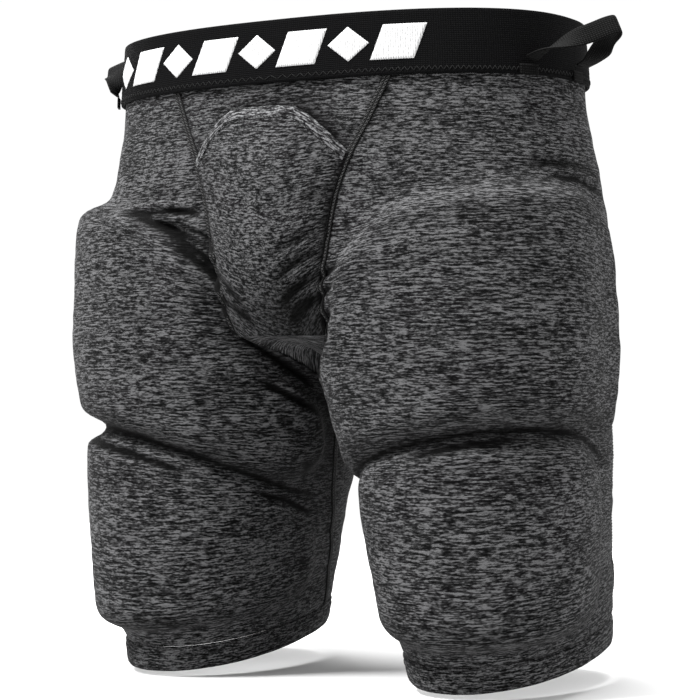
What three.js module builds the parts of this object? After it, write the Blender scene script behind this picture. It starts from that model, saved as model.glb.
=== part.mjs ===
// Padded impact shorts: a stretch-knit shell with foam thigh pads in pockets, a cup pouch,
// an elastic waistband and two webbing hang loops.
// Millimetres, +Z up. The origin is the centre of the waist opening, level with the band's top rim.
// The wearer faces -Y, and the wearer's left is +X.
import * as THREE from "three";

// ---- driving dimensions ----
const waistHalfWidth = 157; // the body's half width at the waist
const waistHalfDepth = 86;
const hemHalfWidth = 52; // one leg opening, side to side
const hemHalfDepth = 86;
const hemSpread = 110; // centre line to the middle of a leg opening
const hemForward = 23; // the leg opening sits this far behind the waist's middle
const crotchHalfWidth = 86; // one leg's half width where the legs meet
const crotchDrop = 205; // waist rim down to the crotch
const outseam = 405; // waist rim down to the hem
const hemRise = 0.158; // how much the hem climbs toward the back, per millimetre
const hemRiseStart = 45; // the climb begins this far below the crotch

const bandHeight = 40;
const bandThickness = 2;
const bandLap = 10; // the band covers this much of the knit
const shellThickness = 1.4;
const liningThickness = 0.8;
const layerGap = 1; // between stacked layers
const seamGap = 0.8; // half of the gap between two butted panel edges
const hemBandHeight = 16.5;

const upperPadThickness = 20;
const lowerPadThickness = 18;
const padClearance = 1.6; // between a pad's crown and the shell, on top of the layer gap
const padEdge = 15; // width of a pad's rounded border
const padMargin = 7; // the shell lifts this far outside a pad's border
const liningMargin = 5;

const pouchTopDrop = bandHeight + 17; // waist rim down to the pouch's top edge
const pouchTopShare = 1 / 3; // the level part of the top edge, of the pouch's width
const pouchSideDrop = bandHeight + 47; // where the pouch's top edge reaches the front seams
const pouchBottomDrop = crotchDrop - 8;
const pouchBulge = 15;
const panelBulge = 4; // the front panel stands this far forward between its seams
const panelTopBulge = 7; // the same, just under the band
const bridgeStart = 4; // below the band the front panel leaves the body's curve and bridges between
const bridgeRun = 30; //   its seams over this stretch
const gussetHalfWidth = 13;
const gussetBackReach = 75;
const gussetGap = 3; // the gusset's edge to the seam line
const sideBackTop = 82; // the side-back seam lies this far behind the outer side line at the waist
const sideBackHem = 56;
const inseamTwist = 0.42; // radians that the inseam turns to the back by the hem

const stripWidth = 4;
const stripThickness = 0.6;
const stripLift = 1.4; // clearance under a stitched strip
const ringLift = 0.3; // the same where the ring under it is stiff
const hemProud = 0.8; // the turned hem is thicker than the shell by this on the outside
const hemInset = 0.4; //   and by this on the inside
const centreSeamDrop = crotchDrop * 0.87; // lower end of the centre-back seam
const pouchEdgeDepth = 0.05; // share of the pouch's height under its turned edge
const pouchEdgeWidth = 0.97; // and of its width

const webbingWidth = 13;
const webbingThickness = 1.6;
const loopReach = 45;
const loopSkew = 9; // a loop's tip lies this far behind the middle of its sewn ends
const loopSpan = 42; // between a loop's two sewn ends
const loopRise = { left: 20, right: 34 }; // the tips stand this far above the sewn ends at rest
const loopLift = 4.8; // the hinge line stands this far off the band
const tabLift = 0.9; // the sewn ends lie this far off the band's stitching
const tabTop = 3; // and start this far below the hinge line
const tabLap = 0.5; // and end this far below the band

const rowStep = 14; // mesh rows down the body
const columnStep = 14; // mesh columns around it
const legPanelGirth = 280; // about the width of a leg panel
const backPanelGirth = 135; // about the width of a back panel

// ---- small helpers ----
const clamp = (v, lo, hi) => Math.min(Math.max(v, lo), hi);
const lerp = (a, b, t) => a + (b - a) * t;
const smooth = (t) => {
  const c = clamp(t, 0, 1);
  return c * c * (3 - 2 * c);
};

/** Piecewise-linear value at x through [[x, y], ...] with x rising. */
function along(points, x) {
  if (x <= points[0][0]) return points[0][1];
  for (let i = 1; i < points.length; i++) {
    const [x1, y1] = points[i];
    const [x0, y0] = points[i - 1];
    if (x <= x1) return lerp(y0, y1, (x - x0) / (x1 - x0));
  }
  return points[points.length - 1][1];
}

/** Smooth curve through rising x that never overshoots its points. */
function monotone(xs, ys) {
  const h = xs.slice(1).map((x, i) => x - xs[i]);
  const d = h.map((w, i) => (ys[i + 1] - ys[i]) / w);
  const m = ys.map((_, i) => {
    if (i === 0) return d[0];
    if (i === ys.length - 1) return d[i - 1];
    return d[i - 1] * d[i] <= 0 ? 0 : (2 * d[i - 1] * d[i]) / (d[i - 1] + d[i]);
  });
  return (x) => {
    let i = 0;
    while (i < h.length - 1 && x > xs[i + 1]) i++;
    const t = (x - xs[i]) / h[i];
    const a = 2 * t ** 3 - 3 * t ** 2 + 1;
    const b = t ** 3 - 2 * t ** 2 + t;
    const c = t ** 3 - t ** 2;
    return a * ys[i] + b * h[i] * m[i] + (1 - a) * ys[i + 1] + c * h[i] * m[i + 1];
  };
}

// ---- the wearer's body, as one superellipse tube for each half ----
// drop, centre x, half width, half depth, centre y, roundness
const stations = [
  [0, 0, waistHalfWidth, waistHalfDepth, 0, 2.45],
  [bandHeight, 0, waistHalfWidth + 3, waistHalfDepth + 1, 0, 2.45],
  [crotchDrop * 0.54, 25, waistHalfWidth - 11, waistHalfDepth + 8, 2, 2.4],
  [crotchDrop * 0.78, 56, lerp(waistHalfWidth, crotchHalfWidth, 0.58), waistHalfDepth + 10, 5, 2.35],
  [crotchDrop, crotchHalfWidth, crotchHalfWidth, waistHalfDepth + 9, 9, 2.3],
  [lerp(crotchDrop, outseam, 0.225), lerp(crotchHalfWidth, hemSpread, 0.33),
    lerp(crotchHalfWidth, hemHalfWidth, 0.35), hemHalfDepth + 7, 13, 2.25],
  [lerp(crotchDrop, outseam, 0.475), lerp(crotchHalfWidth, hemSpread, 0.58),
    lerp(crotchHalfWidth, hemHalfWidth, 0.59), hemHalfDepth + 5, 16, 2.2],
  [lerp(crotchDrop, outseam, 0.725), lerp(crotchHalfWidth, hemSpread, 0.79),
    lerp(crotchHalfWidth, hemHalfWidth, 0.79), hemHalfDepth + 3, 19, 2.15],
  [outseam, hemSpread, hemHalfWidth, hemHalfDepth, hemForward, 2.1],
];
const stationCurves = [1, 2, 3, 4, 5].map((k) =>
  monotone(stations.map((s) => s[0]), stations.map((s) => s[k])));
const section = (drop) => stationCurves.map((curve) => curve(drop));

/** Angle at which one half's tube meets the centre plane; PI below the crotch. */
function halfAngle(drop) {
  const [cx, a, , , n] = section(drop);
  return Math.acos(-Math.min(1, Math.max(0, cx / a) ** (n / 2)));
}

const centreBlend = 12; // the surface turns square to the centre plane within this distance

/** Point of the left half at an angle (0 = outer side, negative = front), a drop and an outward offset. */
function bodyPoint(angle, drop, offset = 0) {
  const [cx, a, b, cy, n] = section(drop);
  const c = Math.cos(angle);
  const s = Math.sin(angle);
  const x = a * Math.sign(c) * Math.abs(c) ** (2 / n);
  const y = b * Math.sign(s) * Math.abs(s) ** (2 / n);
  let nx = (Math.sign(x) * Math.abs(x / a) ** (n - 1)) / a;
  const ny = (Math.sign(y) * Math.abs(y / b) ** (n - 1)) / b;
  if (drop < crotchDrop) nx *= smooth((cx + x) / centreBlend);
  const size = Math.hypot(nx, ny) || 1;
  const level = crotchDrop + hemRiseStart;
  const fall = smooth((drop - level) / (outseam - level));
  const py = cy + y + (offset * ny) / size;
  const rise = fall * hemRise * (py - hemForward);
  return new THREE.Vector3(cx + x + (offset * nx) / size, py, -drop + rise);
}

const arcSamples = 160;
const arcTables = new Map();
/** Arc length from the outer side line to every sampled angle, front and back. */
function arcTable(drop) {
  const key = drop.toFixed(3);
  if (!arcTables.has(key)) {
    const end = halfAngle(drop);
    const table = {};
    for (const side of [-1, 1]) {
      const lengths = [0];
      let last = bodyPoint(0, drop);
      for (let i = 1; i <= arcSamples; i++) {
        const p = bodyPoint((side * end * i) / arcSamples, drop);
        lengths.push(lengths[i - 1] + Math.hypot(p.x - last.x, p.y - last.y));
        last = p;
      }
      table[side] = lengths;
    }
    arcTables.set(key, { end, table });
  }
  return arcTables.get(key);
}
const arcEnd = (drop, side) => arcTable(drop).table[side][arcSamples];

/** Angle of the point that lies an arc length from the outer side line. */
function angleAt(arc, drop) {
  const { end, table } = arcTable(drop);
  const side = arc < 0 ? -1 : 1;
  const lengths = table[side];
  const want = Math.abs(arc);
  let lo = 0;
  let hi = arcSamples;
  if (want >= lengths[hi]) {
    const girth = lengths[hi] + table[-side][arcSamples];
    if (end < Math.PI - 1e-6 || want - lengths[hi] < 1e-9) return side * end;
    return angleAt(side * (want - girth), drop) + side * 2 * Math.PI;
  }
  while (hi - lo > 1) {
    const mid = (lo + hi) >> 1;
    if (lengths[mid] <= want) lo = mid;
    else hi = mid;
  }
  const t = (want - lengths[lo]) / (lengths[hi] - lengths[lo] || 1);
  return (side * end * (lo + t)) / arcSamples;
}
const shellPoint = (arc, drop, offset) => bodyPoint(angleAt(arc, drop), drop, offset);

// ---- places on the leg ----
/** Drop at a level: 0 to 1 from the waist rim to the crotch, 1 to 2 from the crotch to the hem. */
const dropAt = (level) => (level <= 1 ? level * crotchDrop : lerp(crotchDrop, outseam, level - 1));
/** [share of the front half's girth, level] to [arc, drop]. */
const placed = (points) => points.map(([share, level]) =>
  [share * arcEnd(dropAt(level), -1), dropAt(level)]);

// ---- pads, outlined on the leg ----
const upperPadOutline = placed([
  [-0.271, 0.537], [-0.427, 0.556], [-0.572, 0.595], [-0.682, 0.668], [-0.761, 0.78],
  [-0.729, 0.951], [-0.696, 1.035], [-0.875, 1.19], [-0.922, 1.285], [-0.937, 1.38],
  [-0.837, 1.42], [-0.697, 1.375], [-0.54, 1.285], [-0.318, 1.22], [-0.094, 1.24],
  [0.091, 1.28], [0.146, 1.175], [0.167, 0.732], [0.045, 0.605], [-0.108, 0.546],
]);
const lowerPadOutline = placed([
  [-0.153, 1.3], [-0.313, 1.295], [-0.48, 1.325], [-0.653, 1.385], [-0.808, 1.475],
  [-0.963, 1.6], [-1.005, 1.715], [-0.968, 1.805], [-0.819, 1.83], [-0.433, 1.85],
  [-0.065, 1.85], [0.021, 1.785], [0.032, 1.475], [-0.031, 1.35],
]);

/** Signed distance into an outline, positive inside. */
function inside(outline, arc, drop) {
  let best = Infinity;
  let within = false;
  for (let i = 0, j = outline.length - 1; i < outline.length; j = i++) {
    const [x0, y0] = outline[j];
    const [x1, y1] = outline[i];
    const t = clamp(((arc - x0) * (x1 - x0) + (drop - y0) * (y1 - y0)) /
      ((x1 - x0) ** 2 + (y1 - y0) ** 2), 0, 1);
    best = Math.min(best, Math.hypot(arc - lerp(x0, x1, t), drop - lerp(y0, y1, t)));
    if (y0 > drop !== y1 > drop && arc < lerp(x0, x1, (drop - y0) / (y1 - y0))) within = !within;
  }
  return within ? best : -best;
}

const roundEdge = (t) => Math.sqrt(1 - (1 - clamp(t, 0, 1)) ** 2);
/** Pads are thickest at the front of the thigh and thin out toward both ends. */
const padTaper = (pad, arc) => (arc < -70
  ? lerp(1, pad.innerEnd, smooth((-70 - arc) / 160))
  : lerp(1, pad.outerEnd, smooth((arc + 60) / 75)));
const pads = [
  { name: "upper_thigh_pad", outline: upperPadOutline, thickness: upperPadThickness,
    innerEnd: 0.5, outerEnd: 0.2 },
  { name: "lower_thigh_pad", outline: lowerPadOutline, thickness: lowerPadThickness,
    innerEnd: 0.22, outerEnd: 0.2 },
];
const padHeight = (pad, arc, depth) =>
  pad.thickness * padTaper(pad, arc) * roundEdge(depth / padEdge);
/** How far the pads push the shell out at a point. */
function padLift(arc, drop) {
  let lift = 0;
  for (const pad of pads) {
    const depth = inside(pad.outline, arc, drop) + padMargin;
    if (depth > 0) {
      lift = Math.max(lift, padHeight(pad, arc, depth) + padClearance * roundEdge(depth / padMargin));
    }
  }
  return lift;
}

// layers, as outward offsets from the body
const liningOut = 0;
const padIn = liningOut + layerGap;
const shellIn = padIn + layerGap;
const shellOut = (arc, drop) => shellIn + shellThickness + padLift(arc, drop);
const bandIn = shellIn + shellThickness + layerGap;

// ---- closed meshes ----
/** Closed solid between an inner and an outer grid of points. */
function slab(inner, outer, { loop = false } = {}) {
  const rows = inner.length;
  const cols = inner[0].length;
  const positions = [];
  for (const grid of [outer, inner]) {
    for (const row of grid) for (const p of row) positions.push(p.x, p.y, p.z);
  }
  const at = (layer, r, c) => layer * rows * cols + r * cols + (c % cols);
  const index = [];
  const quad = (a, b, c, d) => index.push(a, b, c, a, c, d);
  const lastCol = loop ? cols : cols - 1;
  for (let r = 0; r < rows - 1; r++) {
    for (let c = 0; c < lastCol; c++) {
      quad(at(0, r, c), at(0, r + 1, c), at(0, r + 1, c + 1), at(0, r, c + 1));
      quad(at(1, r, c), at(1, r, c + 1), at(1, r + 1, c + 1), at(1, r + 1, c));
    }
  }
  for (let c = 0; c < lastCol; c++) {
    quad(at(0, 0, c), at(0, 0, c + 1), at(1, 0, c + 1), at(1, 0, c));
    quad(at(0, rows - 1, c), at(1, rows - 1, c), at(1, rows - 1, c + 1), at(0, rows - 1, c + 1));
  }
  if (!loop) {
    for (let r = 0; r < rows - 1; r++) {
      quad(at(0, r, 0), at(1, r, 0), at(1, r + 1, 0), at(0, r + 1, 0));
      quad(at(0, r, cols - 1), at(0, r + 1, cols - 1), at(1, r + 1, cols - 1), at(1, r, cols - 1));
    }
  }
  const geometry = new THREE.BufferGeometry();
  geometry.setAttribute("position", new THREE.Float32BufferAttribute(positions, 3));
  geometry.setIndex(index);
  return geometry;
}

/** The volume's sign says whether a closed mesh faces outward; a mirrored one is turned back. */
function facingOut(geometry) {
  const p = geometry.attributes.position;
  const index = geometry.index.array;
  const [a, b, c] = [new THREE.Vector3(), new THREE.Vector3(), new THREE.Vector3()];
  let volume = 0;
  for (let i = 0; i < index.length; i += 3) {
    a.fromBufferAttribute(p, index[i]);
    b.fromBufferAttribute(p, index[i + 1]);
    c.fromBufferAttribute(p, index[i + 2]);
    volume += a.dot(b.cross(c));
  }
  if (volume < 0) {
    for (let i = 0; i < index.length; i += 3) [index[i], index[i + 1]] = [index[i + 1], index[i]];
  }
  geometry.computeVertexNormals();
  return geometry;
}

const spread = (from, to, step) => {
  const count = Math.max(1, Math.round(Math.abs(to - from) / step));
  return Array.from({ length: count + 1 }, (_, i) => lerp(from, to, i / count));
};
const mirrored = (grid) => grid.map((row) => row.map((p) => new THREE.Vector3(-p.x, p.y, p.z)));

// ---- materials ----
const finish = (color, roughness) => new THREE.MeshStandardMaterial({ color, roughness, metalness: 0 });
const knit = finish(0x3d3d40, 0.9);
const darkKnit = finish(0x2a2a2c, 0.9);
const elastic = finish(0x17171a, 0.8);
const webbing = finish(0x141416, 0.7);
const foam = finish(0x8f9296, 0.95);
const mesh = finish(0x4a4b4f, 0.9);
const thread = finish(0x1d1d1f, 0.8);

const shorts = new THREE.Group();
function addPiece(name, geometry, material) {
  const piece = new THREE.Mesh(facingOut(geometry), material);
  piece.name = name;
  shorts.add(piece);
}
/** Adds the left piece and its mirror image on the right. */
function addPair(name, inner, outer, material, options) {
  addPiece(`left_${name}`, slab(inner, outer, options), material);
  addPiece(`right_${name}`, slab(mirrored(inner), mirrored(outer), options), material);
}

// ---- seams ----
const knitTop = bandHeight - bandLap;
const hemTop = outseam - hemBandHeight;
const seamPoints = placed([
  [-0.556, 0], [-0.615, 0.195], [-0.668, 0.302], [-0.732, 0.415], [-0.793, 0.576], [-0.828, 0.805],
  [-0.778, 0.961], [-0.685, 1],
]);
/** Arc of the front seam, from the waist in toward the crotch. */
const frontSeam = (drop) => along(seamPoints.map(([arc, at]) => [at, arc]), drop);
/** Arc of the side-back seam, between the leg panel and the back panel. */
const backSeam = (drop) => lerp(sideBackTop, sideBackHem, drop / outseam);

const gussetDepth = 31; // the inseam starts this far below the crotch
const inseamTop = crotchDrop + gussetDepth;
/** How far below PI the inseam has turned toward the back of the leg. */
const inseamTurn = (drop) =>
  inseamTwist * smooth((drop - crotchDrop - gussetDepth + 1) / (outseam - crotchDrop - gussetDepth + 1));

/** Half width of the crotch gusset behind the legs' meeting point, in plan. */
const gussetHalf = (y) => along([[8, gussetHalfWidth], [gussetBackReach, 2], [waistHalfDepth, 0]], y);

/** Last arc toward the back centre that clears the gusset and the centre seam. */
function backPanelEnd(drop) {
  if (drop >= inseamTop) return inseamArc(drop, 1) - seamGap;
  const end = arcEnd(drop, 1);
  const steps = 240;
  for (let i = 0; i <= steps; i++) {
    const arc = lerp(end, 20, i / steps);
    const p = shellPoint(arc, drop, shellIn);
    if (p.x > (p.y < gussetBackReach ? gussetHalf(p.y) : 0) + seamGap) return arc;
  }
  return end;
}

/** Arc of the leg panel's front edge: the front seam, then the gusset's edge, then the inseam. */
function legEdge(drop) {
  if (drop <= pouchBottomDrop) return frontSeam(drop);
  if (drop >= inseamTop) return inseamArc(drop, -1);
  const share = (drop - pouchBottomDrop) / (inseamTop - pouchBottomDrop);
  return lerp(frontSeam(pouchBottomDrop), -arcEnd(inseamTop, -1), share);
}

/** Arc length at an angle, which may pass PI. */
function arcOfAngle(angle, drop) {
  const { end, table } = arcTable(drop);
  const side = angle < 0 ? -1 : 1;
  const want = Math.abs(angle);
  const pick = (lengths, value) => {
    const t = clamp(value / end, 0, 1) * arcSamples;
    const i = Math.min(Math.floor(t), arcSamples - 1);
    return lerp(lengths[i], lengths[i + 1], t - i);
  };
  if (want <= end) return side * pick(table[side], want);
  const over = arcEnd(drop, -side) - pick(table[-side], 2 * Math.PI - want);
  return side * (arcEnd(drop, side) + over);
}
/** Arc of the inseam, reached from the front (side -1) or from the back (side 1). */
const inseamArc = (drop, side) => arcOfAngle(side * Math.PI - inseamTurn(drop), drop);

// ---- shell panels ----
function panelGrids(rows, from, to, columns, inner, outer) {
  const flat = stripWidth; // a first narrow column keeps the panel's edge flat under its seam
  const grid = (offset) => rows.map((drop) => {
    const start = from(drop);
    const end = to(drop);
    const middle = Array.from({ length: columns + 1 }, (_, i) => lerp(start + flat, end - flat, i / columns));
    return [start, ...middle, end].map((arc) => shellPoint(arc, drop, offset(arc, drop)));
  });
  return [grid(inner), grid(outer)];
}
const shellInner = (arc, drop) => shellIn + padLift(arc, drop);

function addShellPanels() {
  const rows = [
    ...spread(knitTop, pouchBottomDrop, rowStep),
    ...spread(pouchBottomDrop, inseamTop, rowStep / 2.5).slice(1),
    ...spread(inseamTop, hemTop - seamGap, rowStep).slice(1),
  ];
  const legColumns = Math.round(legPanelGirth / columnStep);
  const backColumns = Math.round(backPanelGirth / columnStep);
  addPair("leg_panel", ...panelGrids(rows, (d) => legEdge(d) + seamGap, (d) => backSeam(d) - seamGap,
    legColumns, shellInner, shellOut), knit);
  addPair("back_panel", ...panelGrids(rows, (d) => backSeam(d) + seamGap, backPanelEnd,
    backColumns, shellInner, shellOut), darkKnit);
}

// ---- pads and their pocket backings ----
const padRings = [0.25, 0.5, 0.74, 0.9, 1];

/** Border points of an outline, close enough together to follow the leg. */
function borderOf(outline) {
  return outline.flatMap(([x, y], i) => {
    const [nx, ny] = outline[(i + 1) % outline.length];
    const pieces = Math.max(1, Math.round(Math.hypot(nx - x, ny - y) / (1.3 * columnStep)));
    return Array.from({ length: pieces }, (_, k) => [lerp(x, nx, k / pieces), lerp(y, ny, k / pieces)]);
  });
}

/** Closed solid over an outline, from offset base up to top(arc, drop), grown outward by a margin. */
function crowned(outline, margin, base, top, side) {
  const middle = [0, 1].map((k) => outline.reduce((sum, p) => sum + p[k] / outline.length, 0));
  const border = borderOf(outline);
  const rings = padRings.map((share) =>
    border.map(([x, y]) => [lerp(middle[0], x, share), lerp(middle[1], y, share)]));
  if (margin > 0) {
    rings.push(border.map(([x, y]) => {
      const far = Math.hypot(x - middle[0], y - middle[1]);
      return [lerp(middle[0], x, 1 + margin / far), lerp(middle[1], y, 1 + margin / far)];
    }));
  }
  const count = border.length;
  const positions = [];
  for (const height of [top, () => base]) {
    for (const [arc, drop] of [middle, ...rings.flat()]) {
      const p = shellPoint(arc, drop, height(arc, drop));
      positions.push(side * p.x, p.y, p.z);
    }
  }
  const layer = 1 + rings.length * count;
  const at = (l, ring, k) => l * layer + 1 + ring * count + (k % count);
  const index = [];
  for (const l of [0, 1]) {
    const tri = (p, q, r) => (l === 0 ? index.push(p, q, r) : index.push(p, r, q));
    for (let k = 0; k < count; k++) {
      tri(l * layer, at(l, 0, k), at(l, 0, k + 1));
      for (let r = 0; r < rings.length - 1; r++) {
        tri(at(l, r, k), at(l, r + 1, k), at(l, r + 1, k + 1));
        tri(at(l, r, k), at(l, r + 1, k + 1), at(l, r, k + 1));
      }
    }
  }
  const last = rings.length - 1;
  for (let k = 0; k < count; k++) {
    index.push(at(0, last, k), at(1, last, k), at(1, last, k + 1));
    index.push(at(0, last, k), at(1, last, k + 1), at(0, last, k + 1));
  }
  const geometry = new THREE.BufferGeometry();
  geometry.setAttribute("position", new THREE.Float32BufferAttribute(positions, 3));
  geometry.setIndex(index);
  return geometry;
}

function addPads() {
  const rim = 2.4; // a pad's border stands this thick
  for (const pad of pads) {
    const crown = (arc, drop) =>
      padIn + Math.max(rim, padHeight(pad, arc, Math.max(0, inside(pad.outline, arc, drop))));
    for (const [side, word] of [[1, "left"], [-1, "right"]]) {
      addPiece(`${word}_${pad.name}`, crowned(pad.outline, 0, padIn, crown, side), foam);
      addPiece(`${word}_${pad.name}_backing`, crowned(pad.outline, liningMargin,
        liningOut - liningThickness, () => liningOut, side), mesh);
    }
  }
}

// ---- front panel, cup pouch and gusset ----
/** Point on the front (side -1) or back (side 1) of the body at a distance from the centre plane. */
function faceSurface(x, drop, side, offset) {
  const [cx, a, , , n] = section(drop);
  const t = (Math.abs(x) - cx) / a;
  const c = Math.sign(t) * Math.min(1, Math.abs(t)) ** (n / 2);
  const p = bodyPoint(Math.atan2(side * Math.sqrt(1 - c * c), c), drop, offset);
  return new THREE.Vector3(x, p.y, p.z);
}

/** Front panel surface: follows the body under the band, then bridges from seam to seam. */
function frontPoint(u, drop, offset) {
  const edge = shellPoint(frontSeam(drop) - seamGap, drop, offset);
  const x = u * edge.x;
  const body = faceSurface(x, drop, -1, offset).y;
  const bulge = lerp(panelTopBulge, panelBulge, smooth((drop - bandHeight) / (crotchDrop * 0.44)));
  const bridge = edge.y - bulge * (1 - u * u);
  const bridged = smooth((drop - bandHeight - bridgeStart) / bridgeRun);
  return new THREE.Vector3(x, lerp(body, bridge, bridged), -drop);
}

const acrossFront = spread(-1, 1, 1 / 6);
const pouchInset = 6; // the pouch's side edges lie this far inside the front seams
const pouchMouth = 11; // the pouch's open top stands this far off the front panel

/** Cup pouch surface at u across and r down, lifted forward off the front panel. */
function pouchPoint(u, r, lift) {
  const slant = (Math.abs(u) - pouchTopShare) / (1 - pouchTopShare);
  const top = lerp(pouchTopDrop, pouchSideDrop, clamp(slant, 0, 1));
  const drop = lerp(top, pouchBottomDrop - 3, r);
  const reach = shellPoint(frontSeam(drop), drop, shellIn + shellThickness).x;
  const p = frontPoint(u * (1 - pouchInset / reach), drop, shellIn + shellThickness);
  const crown = 1 - u * u;
  const stand = crown * (pouchMouth * (1 - r) + (pouchBulge - pouchMouth / 2) * Math.sin(Math.PI * r));
  p.y -= layerGap + stand + lift;
  return p;
}

function addFront() {
  const rows = spread(knitTop, pouchBottomDrop, rowStep);
  const panel = (offset) => rows.map((drop) => acrossFront.map((u) => frontPoint(u, drop, offset)));
  addPiece("front_panel", slab(panel(shellIn), panel(shellIn + shellThickness)), knit);

  const pouchRows = spread(0, 1, 1 / 10);
  const pouch = (lift) => pouchRows.map((r) => acrossFront.map((u) => pouchPoint(u, r, lift)));
  addPiece("cup_pouch", slab(pouch(0), pouch(shellThickness)), knit);

  const bindingRows = [0, pouchEdgeDepth];
  const binding = (lift) => bindingRows.map((r) =>
    acrossFront.map((u) => pouchPoint(u * pouchEdgeWidth, r, lift)));
  const bindingIn = shellThickness + stripLift;
  addPiece("pouch_edge_binding", slab(binding(bindingIn), binding(bindingIn + stripThickness)), thread);
}

/** Drop at which one leg's tube passes over a point in plan, near the crotch. */
function dropOver(x, y) {
  let lo = bandHeight;
  let hi = outseam;
  for (let i = 0; i < 40; i++) {
    const mid = (lo + hi) / 2;
    const [cx, a, b, cy, n] = section(mid);
    const reach = Math.abs((x - cx) / a) ** n + Math.abs((y - cy) / b) ** n;
    if (reach > 1) hi = mid;
    else lo = mid;
  }
  return lo;
}

function addGusset() {
  const across = spread(-1, 1, 1 / 4);
  const startDrop = pouchBottomDrop + 2;
  const front = spread(0, 1, 1 / 8).map((t) => {
    const drop = lerp(startDrop, inseamTop - 2, t);
    const edge = shellPoint(legEdge(drop) - gussetGap, drop, shellIn);
    const startY = frontPoint(0, pouchBottomDrop, shellIn).y;
    const middleDrop = lerp(startDrop, crotchDrop + 4, t);
    return { edge, middle: new THREE.Vector3(0, lerp(startY, edge.y, t ** 0.7), -middleDrop) };
  });
  const turn = front[front.length - 1].edge.y;
  const back = spread(turn, gussetBackReach - 3, 9).slice(1).map((y) => {
    const x = gussetHalf(y) - seamGap;
    return {
      edge: new THREE.Vector3(x, y, -dropOver(x, y)),
      middle: new THREE.Vector3(0, y, -dropOver(0, y) - 2),
    };
  });
  const grid = (down) => [...front, ...back].map(({ edge, middle }) => across.map((u) => {
    const p = edge.clone().lerp(middle, 1 - u * u);
    return new THREE.Vector3(u * edge.x, p.y, p.z - down);
  }));
  addPiece("crotch_gusset", slab(grid(0), grid(shellThickness)), darkKnit);
}

// ---- rings: waistband, hems and their stitching ----
/** A ring right round the waist. */
function waistGrid(drops, offset) {
  const segments = 60;
  return drops.map((drop) => Array.from({ length: segments }, (_, i) => {
    const angle = (2 * Math.PI * i) / segments;
    const folded = Math.asin(Math.sin(angle));
    const p = bodyPoint(folded, drop, offset);
    return Math.cos(angle) < -1e-9 ? new THREE.Vector3(-p.x, p.y, p.z) : p;
  }));
}
/** A ring right round the left leg. */
function legGrid(drops, offset) {
  const segments = 36;
  return drops.map((drop) => Array.from({ length: segments }, (_, i) =>
    bodyPoint((2 * Math.PI * i) / segments - Math.PI, drop, offset)));
}

function addRings() {
  const bandOut = bandIn + bandThickness;
  const bandDrops = [0, bandHeight];
  addPiece("waistband", slab(waistGrid(bandDrops, bandIn), waistGrid(bandDrops, bandOut), { loop: true }),
    elastic);
  const stitchDrops = [bandHeight - stripWidth - 1, bandHeight - 1];
  addPiece("waistband_stitching", slab(waistGrid(stitchDrops, bandOut + ringLift),
    waistGrid(stitchDrops, bandOut + ringLift + stripThickness), { loop: true }), thread);

  const hemDrops = [hemTop + seamGap, outseam];
  const hemIn = shellIn - hemInset;
  const hemOut = shellIn + shellThickness + hemProud;
  addPair("hem_band", legGrid(hemDrops, hemIn), legGrid(hemDrops, hemOut), knit, { loop: true });
  const coverDrops = [hemTop + seamGap + 1, hemTop + seamGap + 1 + stripWidth / 2];
  addPair("hem_stitching", legGrid(coverDrops, hemOut + ringLift),
    legGrid(coverDrops, hemOut + ringLift + stripThickness / 2), thread, { loop: true });
}

// ---- flatlock seams ----
function addSeamStrip(name, rows, arcAt) {
  const grid = (lift) => rows.map((drop) => [-1, 0, 1].map((k) => {
    const arc = arcAt(drop) + (k * stripWidth) / 2;
    return shellPoint(arc, drop, shellOut(arc, drop) + lift);
  }));
  addPair(name, grid(stripLift), grid(stripLift + stripThickness), thread);
}

function addSeams() {
  const top = bandHeight + 2;
  addSeamStrip("front_seam", spread(top, pouchBottomDrop - 11, rowStep),
    (drop) => frontSeam(drop) + stripWidth * 0.4);
  addSeamStrip("side_back_seam", spread(top, hemTop - 2, rowStep), backSeam);
  addSeamStrip("inseam", spread(inseamTop + 4, hemTop - 2, rowStep), (drop) => inseamArc(drop, -1));
  const rows = spread(top, centreSeamDrop, rowStep);
  const centre = (lift) => rows.map((drop) => [-1, 0, 1].map((k) =>
    faceSurface((k * stripWidth) / 2, drop, 1, shellIn + shellThickness + lift)));
  addPiece("centre_back_seam", slab(centre(stripLift), centre(stripLift + stripThickness)), thread);
}

// ---- hang loops ----
const loopDrop = bandHeight - 9;
const loopFrontArc = -42; // the front sewn end lies this far before the outer side line
const twistShare = 0.36; // the tape turns flat to upright within this share of its length

/** A loop's hinge line on the left side and the way its tip points. */
function loopFrame(rise) {
  const lift = bandIn + bandThickness + loopLift;
  const front = shellPoint(loopFrontArc, loopDrop, lift);
  const back = shellPoint(loopFrontArc + loopSpan, loopDrop, lift);
  const axis = back.clone().sub(front).normalize();
  const outward = new THREE.Vector3(axis.y, -axis.x, 0).normalize();
  const reach = outward.multiplyScalar(Math.sqrt(loopReach ** 2 - rise ** 2)).setZ(rise).normalize();
  return { front, back, axis, reach, normal: new THREE.Vector3().crossVectors(axis, reach) };
}

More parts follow.
